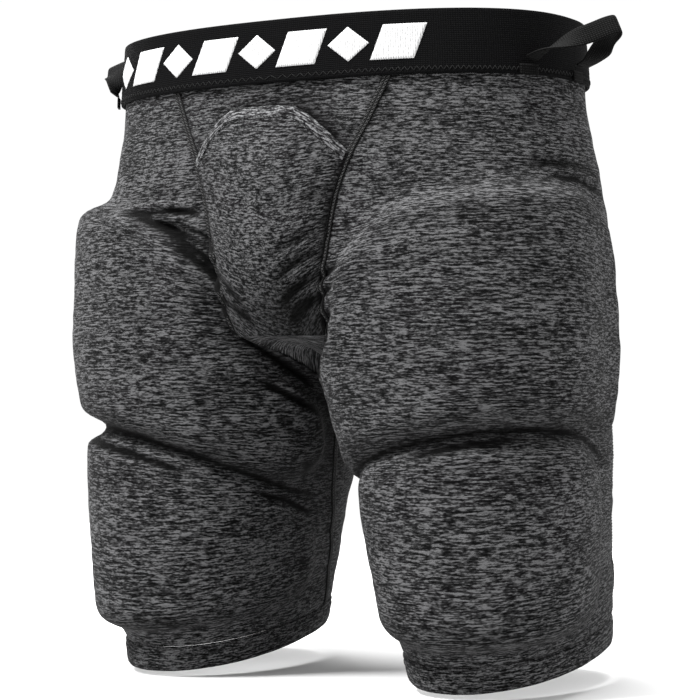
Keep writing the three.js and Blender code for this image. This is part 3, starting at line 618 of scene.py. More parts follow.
class Finish:
    """A material's node tree, with short calls that add its nodes."""

    def __init__(self, name, roughness, sheen=0.0, specular=0.3):
        self.material = bpy.data.materials.new(name)
        self.material.use_nodes = True
        self.tree = self.material.node_tree
        self.shader = self.tree.nodes["Principled BSDF"]
        self.shader.inputs["Roughness"].default_value = roughness
        self.shader.inputs["Sheen Weight"].default_value = sheen
        self.shader.inputs["Sheen Roughness"].default_value = 0.45
        self.shader.inputs["Specular IOR Level"].default_value = specular
        MATERIALS[name] = self.material

    def add(self, kind, settings=None, **inputs):
        """Adds a node; each input takes a value or another node's output."""
        node = self.tree.nodes.new("ShaderNode" + kind)
        for key, value in (settings or {}).items():
            setattr(node, key, value)
        for key, value in inputs.items():
            socket = node.inputs[int(key[1:])] if key[0] == "_" else node.inputs[key]
            if isinstance(value, bpy.types.NodeSocket):
                self.tree.links.new(value, socket)
            else:
                socket.default_value = value
        return node

    def courses(self):
        return self.add("UVMap", {"uv_map": "courses"}).outputs["UV"]

    def stretched(self, vector, x, y, shift=0.0):
        """The place on the cloth, counted in x metres round and y metres down."""
        node = self.add("Mapping", _0=vector, _1=(shift, shift, 0), _3=(1 / x, 1 / y, 1))
        return node.outputs[0]

    def noise(self, vector, detail=2.0, roughness=0.5, dimensions="2D"):
        node = self.add("TexNoise", {"noise_dimensions": dimensions}, Vector=vector, Scale=1.0,
                        Detail=detail, Roughness=roughness)
        return node.outputs[0]

    def bands(self, vector, direction, distortion, detail, scale=0.32):
        """Even bands across a direction, as threads lie in a weave."""
        node = self.add("TexWave", {"wave_type": "BANDS", "bands_direction": direction},
                        Vector=vector, Scale=scale, Distortion=distortion, Detail=detail)
        return node.outputs["Fac"]

    def math(self, operation, a, b=0.0):
        return self.add("Math", {"operation": operation}, _0=a, _1=b).outputs[0]

    def ramp(self, value, stops):
        """Colour ramp through (place, grey or colour) stops."""
        node = self.add("ValToRGB", Fac=value)
        line = node.color_ramp
        while len(line.elements) < len(stops):
            line.elements.new(0.5)
        for element, (place, colour) in zip(line.elements, stops):
            element.position = place
            element.color = (*colour, 1) if len(colour) == 3 else colour
        return node.outputs[0]

    def colour(self, output):
        self.tree.links.new(output, self.shader.inputs["Base Color"])

    def bump(self, height, distance, strength=1.0):
        node = self.add("Bump", Strength=strength, Distance=distance, Height=height)
        self.tree.links.new(node.outputs[0], self.shader.inputs["Normal"])


def grey(value, warm=0.0):
    return (value * (1 + warm), value, value * (1 - warm))


TWIST_SCALE, CELL_SCALE = 900.0, 900.0  # turns of thread and foam cells to the metre
PAINTED_SHADE_DARK = 0.03  # painted shade: how much of its tone the knit keeps at the bottom of a sharp fold


def heather_knit(name, level=1.0):
    """Space-dyed jersey: short dashes of black, charcoal and pale grey yarn along the courses."""
    f = Finish(name, 0.9, sheen=0.02, specular=0.05)
    at = f.courses()
    dash = f.noise(f.stretched(at, 0.0052, 0.00100), detail=3.0, roughness=0.6)
    long_dash = f.noise(f.stretched(at, 0.0130, 0.0014, 5.3), detail=1.0)
    fleck = f.noise(f.stretched(at, 0.0017, 0.0008, 9.1), detail=1.0)
    cloud = f.noise(f.stretched(at, 0.05, 0.014, 2.7), detail=2.0)
    blend = f.math("ADD", f.math("MULTIPLY", dash, 0.54), f.math("MULTIPLY", long_dash, 0.26))
    blend = f.math("ADD", blend, f.math("MULTIPLY", fleck, 0.20))
    blend = f.math("ADD", blend, f.math("MULTIPLY", f.math("SUBTRACT", cloud, 0.5), 0.10))
    pale, dark = sizes().pale_yarn, sizes().dark_yarn
    stops = [(place, [lerp(d, p, share) * level for d, p in zip(dark, pale)])
             for place, share in ((0.40, 0.0), (0.46, 0.09), (0.515, 0.30), (0.585, 1.0))]
    yarn = f.ramp(blend, stops)
    # Painted shade: the attribute on the cloth darkens the yarn's colour in folds, drag lines, the groove
    # between pads, under the pads and along the seams.
    painted_shade = f.add("Attribute", {"attribute_name": "painted_shade"}).outputs["Fac"]
    shaded = f.add("Mix", {"data_type": "RGBA", "blend_type": "MULTIPLY"}, _0=1.0, _6=yarn,
                   _7=f.ramp(painted_shade, [(0.0, (1, 1, 1)), (1.0, grey(PAINTED_SHADE_DARK))]))
    f.colour(shaded.outputs[2])
    loops = f.bands(f.stretched(at, 0.0011, 0.0011), "Y", 1.5, 1.0, scale=0.5)
    relief = f.math("ADD", blend, f.math("MULTIPLY", loops, 0.18))
    f.bump(relief, 0.0009, 0.7)


def elastic_band():
    """Woven elastic: fine cords round the waist, crossed by a fine rib."""
    f = Finish("elastic", 0.8, specular=0.04)
    at = f.courses()
    cords = f.bands(f.stretched(at, 0.00125, 0.00125), "Y", 0.4, 1.0)
    ribs = f.bands(f.stretched(at, 0.0015, 0.0015), "X", 0.3, 1.0)
    fuzz = f.noise(f.stretched(at, 0.0022, 0.0011), detail=3.0, roughness=0.6)
    weave = f.math("MULTIPLY", cords, ribs)
    tone = f.math("ADD", f.math("MULTIPLY", weave, 0.35), f.math("MULTIPLY", fuzz, 0.65))
    base = sizes().band_colour
    f.colour(f.ramp(tone, [(0.25, [c * 0.55 for c in base]), (0.62, list(base)),
                           (0.9, [c * 2.4 for c in base])]))
    f.bump(f.math("ADD", weave, f.math("MULTIPLY", fuzz, 0.5)), 0.00045, 0.8)


def woven_white():
    """White yarn woven into the band."""
    f = Finish("woven_white", 0.8, sheen=0.1)
    at = f.courses()
    cords = f.bands(f.stretched(at, 0.0016, 0.0016), "X", 0.8, 2.0)
    fuzz = f.noise(f.stretched(at, 0.0009, 0.0016), detail=2.0)
    tone = f.math("ADD", f.math("MULTIPLY", cords, 0.5), f.math("MULTIPLY", fuzz, 0.5))
    f.colour(f.ramp(tone, [(0.1, grey(0.18)), (0.42, grey(0.42)), (0.75, grey(0.52))]))
    f.bump(tone, 0.0005, 0.8)


def webbing_tape():
    """Ribbed nylon tape: cross ribs broken into a fine dotted weave."""
    f = Finish("webbing", 0.7, specular=0.05)
    at = f.courses()
    ribs = f.bands(f.stretched(at, 0.0016, 0.0016), "X", 0.2, 0.0)
    rows = f.bands(f.stretched(at, 0.0013, 0.0013), "Y", 0.2, 0.0)
    fuzz = f.noise(f.stretched(at, 0.0012, 0.0012), detail=2.0)
    dots = f.math("MULTIPLY", ribs, rows)
    tone = f.math("ADD", f.math("MULTIPLY", dots, 0.7), f.math("MULTIPLY", fuzz, 0.3))
    f.colour(f.ramp(tone, [(0.1, grey(0.0004)), (0.5, grey(0.0016)), (0.9, grey(0.010))]))
    f.bump(tone, 0.0006, 0.9)


def open_cell_foam():
    f = Finish("foam", 0.95, sheen=0.0, specular=0.2)
    place = f.add("TexCoord").outputs["Object"]
    cells = f.add("TexVoronoi", {"feature": "F1"}, Vector=place, Scale=CELL_SCALE)
    blotch = f.noise(place, detail=2.0, dimensions="3D")
    tone = f.math("ADD", f.math("MULTIPLY", cells.outputs["Distance"], 0.8),
                  f.math("MULTIPLY", blotch, 0.2))
    f.colour(f.ramp(tone, [(0.05, grey(0.10)), (0.5, grey(0.24)), (0.9, grey(0.33))]))
    f.bump(tone, 0.0004, 0.7)


def pocket_mesh():
    """Open mesh lining, drawn as rows of small dark holes."""
    f = Finish("lining_mesh", 0.85, sheen=0.05)
    at = f.courses()
    holes = f.add("TexVoronoi", {"feature": "F1", "voronoi_dimensions": "2D"},
                  Vector=f.stretched(at, 0.0026, 0.0022), Scale=1.0, Randomness=0.12)
    yarn = f.noise(f.stretched(at, 0.0007, 0.0012), detail=2.0)
    tone = f.math("ADD", f.math("MULTIPLY", holes.outputs["Distance"], 0.9),
                  f.math("MULTIPLY", yarn, 0.15))
    f.colour(f.ramp(tone, [(0.2, grey(0.008)), (0.36, grey(0.05)), (0.8, grey(0.075))]))
    f.bump(tone, 0.0006, 0.8)


def spun_thread(name, dark, pale):
    """Spun polyester: a twist that turns round each stitch."""
    f = Finish(name, 0.7, specular=0.1)
    place = f.add("TexCoord").outputs["Object"]
    twist = f.bands(place, "DIAGONAL", 1.0, 1.0, scale=TWIST_SCALE)
    f.colour(f.ramp(twist, [(0.1, grey(dark)), (0.9, grey(pale))]))
    f.bump(twist, 0.0002, 0.6)


def make_finishes():
    heather_knit("heather_knit")
    # A lighter copy of the knit, as a painted highlight on the pouch's turned edge.
    heather_knit("heather_painted_highlight", level=1.7)
    elastic_band()
    woven_white()
    webbing_tape()
    open_cell_foam()
    pocket_mesh()
    spun_thread("thread", 0.003, 0.016)
    spun_thread("seam_thread", 0.014, 0.075)
    spun_thread("seam_tape", 0.0008, 0.003)


# ---- courses: where each point of a panel lies on its own flat cloth ----
PIECE_SHIFT = 613.0  # millimetres between the flat places of two pieces, so no two share dashes


def outside_of(name, arc, drop):
    """How far a place lies outside a pad's outline."""
    return -inside(rounded_outline(PADS[name][0]), arc, drop)


def pad_groove_shade(arc, drop):
    """Painted shade: 1 along the valley between the upper and the lower pad."""
    gap = np.abs(outside_of("upper", arc, drop) - outside_of("lower", arc, drop))
    near = outside_of("upper", arc, drop) + outside_of("lower", arc, drop)
    return np.exp(-(gap / 4.5) ** 2) * smooth((46 - near) / 20)


def under_pad_shade(arc, drop):
    """Painted shade just under each pad's lower border."""
    total = np.zeros(np.shape(arc))
    for name in PADS:
        here, above = outside_of(name, arc, drop), outside_of(name, arc, drop - 9)
        total = np.maximum(total, np.exp(-((here + 1) / 8) ** 2) * smooth((here - above) / 7))
    return total


def leg_fork_shade(arc, drop):
    """Painted shade on the inner thigh next to the crotch, where the legs face each other."""
    share = np.abs(arc) / 245
    return smooth((share - 0.78) / 0.3) * smooth((drop - 165) / 50) * smooth((345 - drop) / 90)


def leg_courses(arc, drop, shift):
    """Pads spread the courses of the knit apart, up at their tops and down at their bottoms."""
    moved = np.array(drop, float)
    for name, middle, reach in (("upper", 200.0, 0.14), ("lower", 325.0, 0.13)):
        over = smooth(inside(rounded_outline(PADS[name][0]), arc, drop) / 34 + 0.45)
        over = over * (0.5 + 0.5 * pad_taper(name, arc))
        moved = moved - reach * over * (drop - middle)
    return np.stack([arc + shift, moved], -1)


def panel(name, drops, start, end, side, shift, columns=None):
    """One shell panel between two edges, as a closed cloth."""
    drops = np.asarray(drops, float)
    first = np.array([start(d) for d in drops], float)
    last = np.array([end(d) for d in drops], float)
    count = columns or int((last - first).max() / CELL)
    t = with_rims(np.linspace(0, 1, count), 0.15 / count)
    arc = first[:, None] + (last - first)[:, None] * t[None, :]
    drop = np.repeat(drops[:, None], arc.shape[1], axis=1)
    outer = shell_point(arc, drop, side)
    inner = shell_point(arc, drop, side, -SHELL_THICK)
    piece = shell_mesh(name, outer, inner, leg_courses(arc, drop, shift), side)
    # Painted shade for the knit's colour: darker in folds, drag lines, the groove between the pads, under
    # the pads, on the inner thigh and along the seams.
    painted_shade = fold_shade_mask(knit_height(arc, drop, side) - tent_height(arc, drop), reach=3)
    painted_shade = painted_shade + crease_field(side_creases(side), arc, drop)[1]
    painted_shade = painted_shade + pad_groove_shade(arc, drop) + 0.35 * under_pad_shade(arc, drop) + 0.75 * leg_fork_shade(arc, drop)
    seam = np.minimum(np.abs(arc - first[:, None]), np.abs(arc - last[:, None]))
    return store_painted_shade(piece, np.clip(np.maximum(painted_shade, 0.75 * np.exp(-(seam / 3.0) ** 2)), 0, 1))


def cut_area(start, end, top, bottom):
    """Flat area of a panel in square metres, from its widths at every level."""
    drops = np.arange(top, bottom, 4.0)
    return float(sum(abs(end(d) - start(d)) for d in drops) * 4.0) / 1e6


# ---- front panel and cup pouch ----
def face_surface(x, drop, side, offset):
    """Point on the front (-1) or back (1) of the body at a distance from the centre plane."""
    cx, a, _, _, n = section(drop)
    t = (np.abs(x) - cx) / a
    c = np.sign(t) * np.minimum(1, np.abs(t)) ** (n / 2)
    p = body_point(np.arctan2(side * np.sqrt(1 - c * c), c), drop, offset)
    return np.stack([x, p[..., 1], p[..., 2]], -1)


def front_point(u, drop, offset):
    """The front panel follows the body under the band, then bridges from seam to seam."""
    u, drop = np.broadcast_arrays(np.asarray(u, float), np.asarray(drop, float))
    edge = on_body(front_seam(drop) - 0.3, drop, offset)
    x = u * edge[..., 0]
    body = face_surface(x, drop, -1, offset)[..., 1]
    bulge = lerp(7, 4, smooth((drop - BAND_HEIGHT) / 90))
    bridge = edge[..., 1] - bulge * (1 - u * u)
    return np.stack([x, lerp(body, bridge, smooth((drop - BAND_HEIGHT - 4) / 30)), -drop], -1)


FRONT_HALF = 72.0  # half the flat width of the front panel and the pouch
POUCH_TOP, POUCH_SIDE, POUCH_FLAT, POUCH_MOUTH, POUCH_BULGE = 57.0, 87.0, 24 / 72, 11.0, 15.0

# Folds of the pouch toward its lower seams, as (way across and down, width, depth)
POUCH_TUCKS = [
    ([(0.98, 0.42), (0.62, 0.55), (0.24, 0.68)], 0.026, 1.0),
    ([(0.98, 0.54), (0.62, 0.66), (0.26, 0.78)], 0.028, 1.4),
    ([(0.98, 0.66), (0.66, 0.77), (0.34, 0.86)], 0.028, 1.5),
    ([(0.98, 0.78), (0.70, 0.86), (0.42, 0.93)], 0.028, 1.4),
    ([(0.98, 0.22), (0.80, 0.30), (0.62, 0.37)], 0.022, 0.7),
    ([(-0.98, 0.66), (-0.70, 0.77), (-0.44, 0.86)], 0.028, 1.3),
    ([(-0.98, 0.80), (-0.66, 0.88), (-0.36, 0.94)], 0.030, 1.4),
]


def pouch_top(u):
    """Drop of the pouch's mouth, level in the middle and slanting down to the seams."""
    slant = np.clip((np.abs(u) - POUCH_FLAT) / (1 - POUCH_FLAT), 0, 1)
    corner = 0.035 * np.exp(-((np.abs(u) - POUCH_FLAT) / 0.07) ** 2)
    return lerp(POUCH_TOP, POUCH_SIDE, slant + corner)


def pouch_point(u, r, lift):
    """Cup pouch at u across and r down, standing forward off the front panel."""
    u, r = np.broadcast_arrays(np.asarray(u, float), np.asarray(r, float))
    drop = lerp(pouch_top(u), POUCH_BOTTOM + 2, r)
    p = front_point(u, drop, SHELL_OUT)
    crown = 1 - u * u
    stand = crown * (POUCH_MOUTH * np.clip(1 - r, 0, 2) ** 1.2
                     + (POUCH_BULGE - POUCH_MOUTH / 2) * np.clip(np.sin(math.pi * r), 0, 1) ** 0.9)
    tuck = crease_field(POUCH_TUCKS, u, r)[0]
    ripple = 0.5 * waves(u * 70, drop, 31, (24, 40), stretch=1.6) * crown * smooth(r * 6)
    p[..., 1] -= 0.8 + stand + lift + tuck + ripple
    return p


def pouch_courses(u, r, shift):
    """Courses sag with the cup, most toward its bottom and toward the wearer's left seam."""
    drop = lerp(pouch_top(u), POUCH_BOTTOM + 2, r)
    sag = 17 * (1 - u * u) * r**1.2 + 12 * smooth(u * 1.2) * r * (1 - u)
    return np.stack([u * FRONT_HALF + shift, drop - sag], -1)


# ---- a stitched seam that follows the shell ----
TAPE_SHARES = np.array([-1, -0.92, -0.55, 0, 0.55, 0.92, 1])  # places across a flatlock tape
SEAM_STEP, CENTRE_BACK_END = 2.5, 178.0
ZIGZAG_ROW, ZIGZAG_SWING, ZIGZAG_RUN = 0.5, 0.34, 0.8  # shares of half the tape, and of a pitch


def seam_run(arc_at, drops, side, lift):
    """Places, outward directions and sideways directions along a seam."""
    arc = np.asarray(arc_at(drops), float)
    here = shell_point(arc, drops, side, lift)
    out = on_body(arc, drops, 10.0) - on_body(arc, drops, 9.0)
    across = on_body(arc + 0.5, drops, 8.0) - on_body(arc - 0.5, drops, 8.0)
    return here, out, across / np.linalg.norm(across, axis=1, keepdims=True)


def seam_tape(name, arc_at, top, bottom, half, side, shift, lift=0.25, rise=0.55):
    """The flat, slightly rounded tape of a flatlock seam."""
    drops = evenly(top, bottom, SEAM_STEP)
    across = TAPE_SHARES * half
    crown = rise * (1 - (across / half) ** 4)
    arc = np.asarray(arc_at(drops), float)[:, None] + across[None, :]
    drop = np.repeat(drops[:, None], len(across), axis=1)
    outer = shell_point(arc, drop, side)
    base = shell_point(arc, drop, side, -0.3)
    out = on_body(arc, drop, 10.0) - on_body(arc, drop, 9.0)
    outer = outer + out * (lift + crown)[None, :, None]
    return shell_mesh(name, outer, base, np.stack([arc + shift, drop], -1), side)


def seam_zigzag(name, arc_at, top, bottom, half, pitch, side, lift=0.95, thread=SEAM_THREAD):
    """Two crossing rows of thread over the tape."""
    drops = np.arange(top, bottom, pitch)
    here, out, across = seam_run(arc_at, drops, side, lift)
    nxt, _, _ = seam_run(arc_at, drops + ZIGZAG_RUN * pitch, side, lift)
    starts, ends, normals = [], [], []
    for centre in (-ZIGZAG_ROW * half, ZIGZAG_ROW * half):
        for flip in (-1, 1):
            starts.append(here + across * (centre - flip * ZIGZAG_SWING * half))
            ends.append(nxt + across * (centre + flip * ZIGZAG_SWING * half))
            normals.append(out)
    return stitch_mesh(name, np.concatenate(starts), np.concatenate(ends), np.concatenate(normals),
                       thread, side)


# ---- settings ----
class ShortsSizes(bpy.types.PropertyGroup):
    """Sizes and colours that a user would change."""
    crease_depth: bpy.props.FloatProperty(
        name="Crease depth", description="How deep a drag line of full strength is",
        default=0.0016, min=0.0, max=0.003, unit="LENGTH")
    seam_width: bpy.props.FloatProperty(
        name="Seam width", description="Width of the flatlock tape", default=0.0052,
        min=0.003, max=0.008, unit="LENGTH")
    stitch_pitch: bpy.props.FloatProperty(
        name="Stitch pitch", description="Distance from one stitch to the next", default=0.0021,
        min=0.0015, max=0.004, unit="LENGTH")
    pale_yarn: bpy.props.FloatVectorProperty(
        name="Pale yarn", description="The lightest dashes of the knit", subtype="COLOR",
        default=(0.082, 0.082, 0.084), min=0.0, max=1.0)
    dark_yarn: bpy.props.FloatVectorProperty(
        name="Dark yarn", description="The darkest dashes of the knit", subtype="COLOR",
        default=(0.0009, 0.0009, 0.0010), min=0.0, max=1.0)
    band_colour: bpy.props.FloatVectorProperty(
        name="Band", description="Colour of the elastic waistband", subtype="COLOR",
        default=(0.0016, 0.0016, 0.0018), min=0.0, max=1.0)


def sizes():
    return bpy.context.scene.shorts_sizes


class PieceMaker(bpy.types.Operator):
    """Base of the shorts' operators."""
    bl_options = {"REGISTER", "UNDO"}

    def execute(self, context):
        self.make()
        return {"FINISHED"}


LEG_DROPS = with_rims(evenly(KNIT_TOP, HEM_TOP - 0.2, CELL), 0.3)


class SHORTS_OT_leg_panels(PieceMaker):
    """Knit panels from the front seams round both sides of the legs"""
    bl_idname = "shorts.leg_panels"
    bl_label = "Leg panels"

    def make(self):
        for k, side in enumerate((LEFT, RIGHT)):
            word = WORD[side]
            piece = panel(f"{word}_leg_knit", LEG_DROPS, lambda d: float(leg_edge(d)) + 0.3,
                          lambda d: float(back_seam(d)) - 0.3, side, PIECE_SHIFT * (1 + k))
            finish_piece(piece, "heather_knit", "heather_knit", "root", f"{word}_leg_panel")
            area = cut_area(leg_edge, back_seam, KNIT_TOP, HEM_TOP)


class SHORTS_OT_back_panels(PieceMaker):
    """Knit panels over the seat and the backs of the thighs"""
    bl_idname = "shorts.back_panels"
    bl_label = "Back panels"

    def make(self):
        for k, side in enumerate((LEFT, RIGHT)):
            word = WORD[side]
            piece = panel(f"{word}_back_knit", LEG_DROPS, lambda d: float(back_seam(d)) + 0.3,
                          back_edge, side, PIECE_SHIFT * (3 + k))
            finish_piece(piece, "heather_knit", "heather_knit", "root", f"{word}_back_panel")
            area = cut_area(back_seam, back_edge, KNIT_TOP, HEM_TOP)


def pad_surface(name, side):
    """The foam pad as a closed, crowned shape inside its pocket."""
    outline = rounded_outline(PADS[name][0])
    middle = outline.mean(0)
    shares = np.array([0.12, 0.26, 0.4, 0.54, 0.66, 0.77, 0.86, 0.93, 0.98, 1.0])
    rings = middle + shares[:, None, None] * (outline - middle)[None]
    arc, drop = rings[..., 0], rings[..., 1]
    depth = np.maximum(inside(outline, arc.ravel(), drop.ravel()).reshape(arc.shape), 0)
    top = 1 + np.maximum(2.2, pad_height(name, arc, depth) - 0.6)
    high = on_body(arc, drop, top)
    low = on_body(arc, drop, 1.0)
    count = len(outline)
    peak = on_body(np.array([middle[0]]), np.array([middle[1]]),
                   1 + pad_height(name, middle[0], 99.0) - 0.6)
    foot = on_body(np.array([middle[0]]), np.array([middle[1]]), 1.0)
    points = np.concatenate([high.reshape(-1, 3), low.reshape(-1, 3), peak, foot])
    points[:, 0] *= side
    levels = len(shares)
    faces = []
    for layer in (0, 1):
        base = layer * levels * count
        hub = 2 * levels * count + layer
        for i in range(count):
            j = (i + 1) % count
            faces.append((hub, base + i, base + j) if layer == 0 else (hub, base + j, base + i))
            for r in range(levels - 1):
                a, b = base + r * count, base + (r + 1) * count
                quad = (a + i, b + i, b + j, a + j)
                faces.append(quad if layer == 0 else quad[::-1])
    rim, under = (levels - 1) * count, (2 * levels - 1) * count
    for i in range(count):
        j = (i + 1) % count
        faces.append((rim + i, under + i, under + j, rim + j))
    if signed_volume(points, faces) < 0:
        faces = [f[::-1] for f in faces]
    return put(f"{WORD[side]}_{name}_foam", points, faces)


class SHORTS_OT_foam_pads(PieceMaker):
    """Foam pads in the pockets on the front and side of each thigh"""
    bl_idname = "shorts.foam_pads"
    bl_label = "Foam pads"

    def make(self):
        for side in (LEFT, RIGHT):
            for name in PADS:
                piece = pad_surface(name, side)
                finish_piece(piece, "foam", "foam", "root", f"{WORD[side]}_{name}_thigh_pad")


class SHORTS_OT_pad_backings(PieceMaker):
    """Mesh backings that close the pad pockets on the inside"""
    bl_idname = "shorts.pad_backings"
    bl_label = "Pad backings"

    def make(self):
        for side in (LEFT, RIGHT):
            for k, name in enumerate(PADS):
                outline = rounded_outline(PADS[name][0])
                middle = outline.mean(0)
                far = np.linalg.norm(outline - middle, axis=1, keepdims=True)
                grown = middle + (outline - middle) * (1 + 5 / far)
                shares = np.linspace(0.02, 1, 24)
                rings = middle + shares[:, None, None] * (grown - middle)[None]
                arc, drop = rings[..., 0], rings[..., 1]
                uv = np.concatenate([rings, rings[:, :1]], 1) + [PIECE_SHIFT * (7 + k), 0]
                piece = shell_mesh(f"{WORD[side]}_{name}_pocket_mesh", on_body(arc, drop, 0.0),
                                   on_body(arc, drop, -0.8), uv, side, ring=True)
                finish_piece(piece, "lining_mesh", "lining_mesh", "root",
                             f"{WORD[side]}_{name}_thigh_pad_backing")


class SHORTS_OT_front(PieceMaker):
    """Front panel, the cup pouch over it and the pouch's turned edge"""
    bl_idname = "shorts.front"
    bl_label = "Front panel and pouch"

    def make(self):
        drops = with_rims(evenly(KNIT_TOP, POUCH_BOTTOM, CELL), 0.3)
        u = with_rims(np.linspace(-1, 1, 76), 0.004)
        uu, dd = np.meshgrid(u, drops)
        sag = front_point(uu, dd, SHELL_OUT)
        ripple = 0.3 * waves(uu * 70, dd, 5, (22, 38)) * (1 - uu * uu) * smooth((dd - 42) / 12)
        sag[..., 1] -= ripple
        uv = np.stack([uu * FRONT_HALF + PIECE_SHIFT * 9, dd + 2.5 * (1 - uu * uu)], -1)
        piece = shell_mesh("front_panel_knit", sag, front_point(uu, dd, SHELL_OUT - SHELL_THICK), uv)
        # Painted shade on the front panel: darker just above the pouch's mouth and along its side seams.
        above = np.clip(pouch_top(uu) - dd, 0, None)
        side_edge = (1 - np.abs(uu)) * FRONT_HALF
        store_painted_shade(piece, np.maximum(0.9 * np.exp(-above / 7), 0.75 * np.exp(-(side_edge / 3.5) ** 2)))
        finish_piece(piece, "heather_knit", "heather_knit", "root", "front_panel")

        r = with_rims(np.linspace(0, 1, 70), 0.004)
        uu, rr = np.meshgrid(u, r)
        face = pouch_point(uu, rr, SHELL_THICK)
        piece = shell_mesh("cup_pouch_knit", face, pouch_point(uu, rr, 0),
                           pouch_courses(uu, rr, PIECE_SHIFT * 10))
        # Painted shade on the pouch: darker in its tucks, toward its bottom and more so on the wearer's
        # left, and along its side seams.
        side_edge = (1 - np.abs(uu)) * FRONT_HALF
        low = 0.75 * smooth((rr - 0.62) / 0.34) * smooth(0.7 + 0.7 * uu)
        store_painted_shade(piece, np.clip(crease_field(POUCH_TUCKS, uu, rr)[1] + low
                                    + 0.75 * np.exp(-(side_edge / 3.5) ** 2), 0, 1))
        finish_piece(piece, "heather_knit", "heather_knit", "root", "cup_pouch")

        u = np.linspace(-0.985, 0.985, 120)
        turn = [(0.050, 1.35), (0.046, 2.1), (0.030, 2.5), (0.010, 2.35), (-0.004, 1.6), (-0.006, 0.3),
                (-0.003, -0.9)]
        outer = np.stack([pouch_point(u, 0.0 * u + rr, lift) for rr, lift in turn])
        inner = np.stack([pouch_point(u, 0.0 * u + max(rr, 0.006), min(lift - 0.6, 0.9))
                          for rr, lift in turn])
        uv = np.stack([np.stack([u * FRONT_HALF + PIECE_SHIFT * 11, pouch_top(u) * 0.2 + rr * 130], -1)
                       for rr, _ in turn])
        edge = shell_mesh("pouch_turned_edge", outer, inner, uv)
        # The turned edge wears the lighter copy of the knit, a painted highlight along the pouch's mouth.
        finish_piece(edge, "heather_painted_highlight", "binding", "root", "pouch_edge_binding")

        pitch = sizes().stitch_pitch * MM
        place, lift = 0.043, 2.3
        dense = np.linspace(-0.97, 0.97, 900)
        line = pouch_point(dense, 0 * dense + place, lift)
        length = np.concatenate([[0], np.cumsum(np.linalg.norm(np.diff(line, axis=0), axis=1))])
        marks = np.arange(0, length[-1] - pitch, pitch)
        us = np.interp(marks, length, dense)
        ue = np.interp(marks + STITCH_SHARE * pitch, length, dense)
        piece = stitch_mesh("pouch_edge_stitches", pouch_point(us, 0 * us + place, lift),
                            pouch_point(ue, 0 * ue + place, lift),
                            np.tile([0.0, -1.0, 0.0], (len(us), 1)), POUCH_THREAD)
        finish_piece(piece, "thread", "thread", "root")


def drop_over(x, y):
    """Drop at which one leg's tube passes over a point in plan, near the crotch."""
    lo, hi = np.full(np.shape(x), BAND_HEIGHT), np.full(np.shape(x), OUTSEAM)
    for _ in range(40):
        mid = (lo + hi) / 2
        cx, a, b, cy, n = section(mid)
        outside = np.abs((x - cx) / a) ** n + np.abs((y - cy) / b) ** n > 1
        hi, lo = np.where(outside, mid, hi), np.where(outside, lo, mid)
    return lo


class SHORTS_OT_gusset(PieceMaker):
    """Gusset under the crotch, from the pouch to the seat"""
    bl_idname = "shorts.gusset"
    bl_label = "Crotch gusset"

    def make(self):
        inner = SHELL_OUT - SHELL_THICK
        t = np.linspace(0, 1, 26)
        drop = lerp(POUCH_BOTTOM - 1, INSEAM_TOP - 1, t)
        edge = on_body(leg_edge(drop) - 0.6, drop, inner)
        start = front_point(0.0, POUCH_BOTTOM, inner)[1]
        middle = np.stack([0 * t, lerp(start, edge[:, 1], t**0.7),
                           -lerp(POUCH_BOTTOM - 1, CROTCH_DROP + 4, t)], -1)
        y = np.linspace(edge[-1, 1], GUSSET_BACK, 34)[1:]
        x = gusset_half(y)
        edge = np.concatenate([edge, np.stack([x, y, -drop_over(x, y)], -1)])
        middle = np.concatenate([middle, np.stack([0 * y, y, -drop_over(0 * y, y) - 2], -1)])
        u = np.linspace(-1, 1, 21)
        crown = (1 - u * u)[None, :, None]
        grid = edge[:, None] + (middle - edge)[:, None] * crown
        grid[..., 0] = edge[:, None, 0] * u[None, :]
        low = grid - np.array([0, 0, SHELL_THICK])
        length = np.arange(len(edge)) * 4.2
        uv = np.stack([np.broadcast_to(u * 14 + PIECE_SHIFT * 12, grid.shape[:2]),
                       np.broadcast_to(length[:, None], grid.shape[:2])], -1)
        piece = shell_mesh("crotch_gusset_knit", low, grid, uv)
        finish_piece(piece, "heather_knit", "heather_knit", "root", "crotch_gusset")


# ---- rings: waistband and hems ----
WAIST_SEGMENTS, HEM_SEGMENTS = 420, 300
HEM_RADIUS = 73.0  # of a circle as long as the leg opening
ZIGZAG_TURNS, ZIGZAG_TOP, ZIGZAG_LOW, THREAD_LIFT = 220, 4.6, 2.0, 0.25


def round_waist(angle, drop, offset):
    """Point at an angle right round the waist, from the wearer's left side."""
    p = body_point(np.arcsin(np.sin(angle)), drop, offset)
    p[:, 0] *= np.where(np.cos(angle) < -1e-9, -1, 1)
    return p


def waist_ring(drops, offsets, segments):
    """Rings right round the waist; offsets has one value per ring."""
    angle = 2 * math.pi * np.arange(segments) / segments
    return np.array([round_waist(angle, np.full(segments, float(drop)), offset)
                     for drop, offset in zip(drops, offsets)])


def ring_courses(rows, drops, shift):
    closed = np.concatenate([rows, rows[:, :1]], 1)
    length = np.cumsum(np.linalg.norm(np.diff(closed[0], axis=0), axis=1))
    length = np.concatenate([[0], length]) + shift
    return np.stack([np.stack([length, 0 * length + d], -1) for d in drops])


def band_profile():
    """Rows down the band's outer face, with a rolled edge at each end: drops and offsets."""
    edge = np.array([0.0, 0.15, 0.5, 1.1, 2.0])
    bulge = np.array([-0.95, -0.45, -0.15, 0.0, 0.06])
    middle = np.linspace(3.5, BAND_HEIGHT - 3.5, 24)
    drops = np.concatenate([edge, middle, (BAND_HEIGHT - edge)[::-1]])
    offsets = BAND_OUT + np.concatenate([bulge, 0.08 * np.sin(middle * 1.9), bulge[::-1]])
    return drops, offsets


def band_bow(angle, drop):
    """The elastic gives a little between the seams that pull on it."""
    wave = 0.35 * np.sin(3 * angle + 0.6) + 0.25 * np.sin(7 * angle + 2.0) + 0.12 * np.sin(13 * angle)
    return wave * smooth((drop - 6) / 30)


